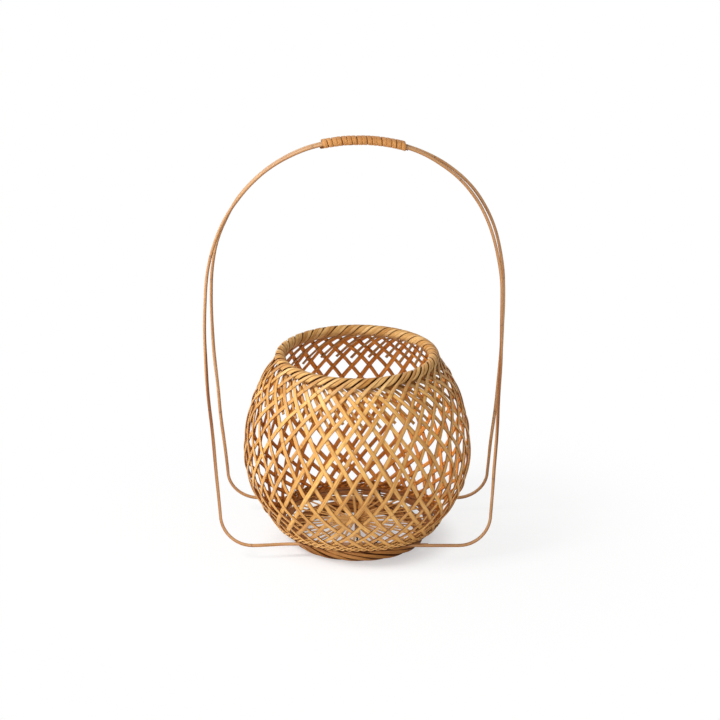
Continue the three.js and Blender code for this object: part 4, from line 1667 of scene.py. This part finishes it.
@dataclass(frozen=True)
class Lamp:
    """A square soft lamp that looks at the basket."""

    name: str
    place: tuple[float, float, float]
    size: float  # side of its face
    watts: float

    def hang(self, aim: Vector) -> None:
        """Hangs the lamp.

        Args:
            aim: Point that it looks at, in metres.
        """
        data = bpy.data.lights.new(self.name, "AREA")
        data.energy = self.watts
        data.size = self.size * MM
        lamp = bpy.data.objects.new(self.name, data)
        lamp.location = Vector(self.place) * MM
        lamp.rotation_euler = (aim - lamp.location).to_track_quat("-Z", "Y").to_euler()
        bpy.context.scene.collection.objects.link(lamp)


@dataclass(frozen=True)
class Studio:
    """The pale floor, the soft light and the camera."""

    floor_size: float = 9000.0
    floor_colour: Colour = (0.97, 0.965, 0.97, 1)
    floor_roughness: float = 0.9
    floor_shine: float = 0.1
    foot_reach: float = 52.0  # distance from the middle up to which the floor's shadows show most
    shadow_reach: float = 82.0  # distance up to which they show as beside the basket
    white_reach: float = 300.0  # distance from which the camera sees the floor as plain white
    foot_shade: float = 0.55  # share of the floor's own shade that shows under the foot
    side_shade: float = 0.18  # share of that shade that shows beside the basket
    ambient: float = 0.30  # strength of the surround's light on the basket
    image_width: int = 720  # of the picture, in pixels
    focal: float = 3975.0  # in pixels
    sensor: float = 36.0  # width
    clip_end: float = 100000.0
    distance: float = 3000.0  # from the camera to its aim
    elevation: float = 20.59  # angle of the camera above the horizon
    aim: tuple[float, float, float] = (2.13, 0.0, 144.0)
    lamps: tuple[Lamp, ...] = (
        Lamp("key_lamp", place=(-1350, -680, 1700), size=700, watts=39.0),
        Lamp("left_lamp", place=(-1900, -300, 500), size=900, watts=7.5),
        Lamp("front_lamp", place=(-500, -1850, 480), size=1000, watts=8.0),
        Lamp("fill_lamp", place=(1300, -900, 900), size=1500, watts=2.4))

    def build(self) -> None:
        """Sets up the floor, the lights, the world and the camera."""
        bpy.context.scene.view_settings.view_transform = "Standard"
        self.lay_floor()
        self.light_world()
        for lamp in self.lamps:
            lamp.hang(Vector(self.aim) * MM)
        self.place_camera()

    def lay_floor(self) -> None:
        """Lays the floor, which shows white to the camera and keeps the basket's shadow."""
        mesh = bmesh.new()
        bmesh.ops.create_grid(mesh, x_segments=1, y_segments=1, size=self.floor_size / 2 * MM)
        data = bpy.data.meshes.new("studio_floor")
        mesh.to_mesh(data)
        mesh.free()
        data.materials.append(self.floor_material())
        floor = bpy.data.objects.new("studio_floor", data)
        bpy.context.scene.collection.objects.link(floor)

    def floor_material(self) -> Material:
        """Makes the floor's finish: pale paper that the camera sees as plain white away from the basket.

        Returns:
            The material.
        """
        made = bpy.data.materials.new("pale_floor")
        sheet = NodeSheet.cleared(made)
        foot, beside, white = (reach * MM for reach in (self.foot_reach, self.shadow_reach, self.white_reach))
        spot = sheet.add("ShaderNodeTexCoord").outputs["Object"]
        away = sheet.add("ShaderNodeVectorMath", {0: spot}, operation="LENGTH").outputs["Value"]
        near = sheet.ramp(away, foot, beside, self.foot_shade, self.side_shade)
        shade = sheet.times(near, sheet.ramp(away, beside, white, first=1.0, last=0.0))
        seen = sheet.add("ShaderNodeLightPath").outputs["Is Camera Ray"]
        paper = sheet.add("ShaderNodeBsdfPrincipled", {
            "Base Color": self.floor_colour, "Roughness": self.floor_roughness,
            "Specular IOR Level": self.floor_shine})
        glow = sheet.add("ShaderNodeEmission", {"Color": WHITE, "Strength": 1.0})
        whiteness = sheet.times(sheet.math("SUBTRACT", 1.0, shade), seen)
        mixed = sheet.add("ShaderNodeMixShader", {
            0: whiteness, 1: paper.outputs["BSDF"], 2: glow.outputs["Emission"]})
        sheet.add("ShaderNodeOutputMaterial", {"Surface": mixed.outputs[0]})
        return made

    def light_world(self) -> None:
        """Makes a soft white surround that the camera and reflections see at full white."""
        world = bpy.data.worlds.new("studio_world")
        sheet = NodeSheet.cleared(world)
        path = sheet.add("ShaderNodeLightPath").outputs
        seen = sheet.math("MAXIMUM", path["Is Camera Ray"], path["Is Glossy Ray"])
        seen = sheet.math("MAXIMUM", seen, path["Is Transmission Ray"])
        strength = sheet.add("ShaderNodeMapRange", {"Value": seen, "To Min": self.ambient, "To Max": 1.0})
        glow = sheet.add("ShaderNodeBackground", {"Color": WHITE, "Strength": strength.outputs["Result"]})
        sheet.add("ShaderNodeOutputWorld", {"Surface": glow.outputs["Background"]})
        bpy.context.scene.world = world

    def place_camera(self) -> None:
        """Places the camera in front, at the photograph's viewing angle."""
        data = bpy.data.cameras.new("photo_camera")
        data.sensor_width = self.sensor
        data.lens = self.focal * self.sensor / self.image_width
        data.clip_end = self.clip_end * MM
        elevation = math.radians(self.elevation)
        away = Vector((0.0, -math.cos(elevation), math.sin(elevation)))
        camera = bpy.data.objects.new("photo_camera", data)
        camera.location = (Vector(self.aim) + away * self.distance) * MM
        camera.rotation_euler = (-away).to_track_quat("-Z", "Y").to_euler()
        bpy.context.scene.collection.objects.link(camera)
        bpy.context.scene.camera = camera


def node_box(node: str) -> tuple[Array, Array]:
    """The lowest and the highest corner of a CAD node."""
    low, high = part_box(node)
    return np.array(low) / MM, np.array(high) / MM


def main() -> None:
    """Builds the basket's pieces in order, then the studio."""
    logging.basicConfig(level=logging.INFO, format="%(message)s")
    effects = CaneEffects(make_fibre_group(), make_joint_group(), make_age_group())
    foot_spread = 0.8  # how much larger the foot's radius is than the solid's
    handle_drop = 1.0  # how much lower the handle's top is than the solid's
    rope_radius = 4.0  # of the solid rim
    rod_radius = 1.25  # of the solid rods
    rod_sides = 8
    rod_face = rod_radius * math.cos(math.pi / rod_sides)
    _, foot_high = node_box("foot_ring")
    rim_low, rim_high = node_box("rim_rope")
    loop_low, loop_high = node_box("handle_loop_front")
    outline = BowlOutline(rim_radius=rim_high[0] - rope_radius, rim_height=(rim_low[2] + rim_high[2]) / 2)
    wall = Wall(STRIP_FINISH.material(effects), outline)
    wall.build()
    # near-black hoop and core finish: painted shade in the slits of the rim and of the foot ring
    dark = SLIT_SHADE_FINISH.material(effects)
    Rim(ROPE_FINISH.material(effects), dark, wall).build()
    BaseBand(BAND_FINISH.material(effects), wall).build()
    floor = Floor(FLOOR_FINISH.material(effects))
    floor.build()
    FloorBorder(BORDER_SHADE_FINISH.material(effects), floor).build()
    Foot(FOOT_FINISH.material(effects), dark, foot_high[0] + foot_spread, foot_high[2]).build()
    handle = Handle(
        ROD_FINISH.material(effects),
        top=loop_high[2] - rod_face - handle_drop,
        half_span=(loop_high[0] - loop_low[0]) / 2 - rod_face,
        shift=-(loop_high[0] + loop_low[0]) / 2,
        bar_offset=-loop_low[1] - rod_face,
        bar_height=loop_low[2] + rod_face)
    handle.build()
    Grip(RATTAN_FINISH.material(effects), handle).build()
    Ties(WireFinish().material(), handle).build()
    Studio().build()


if __name__ == "__main__":
    main()
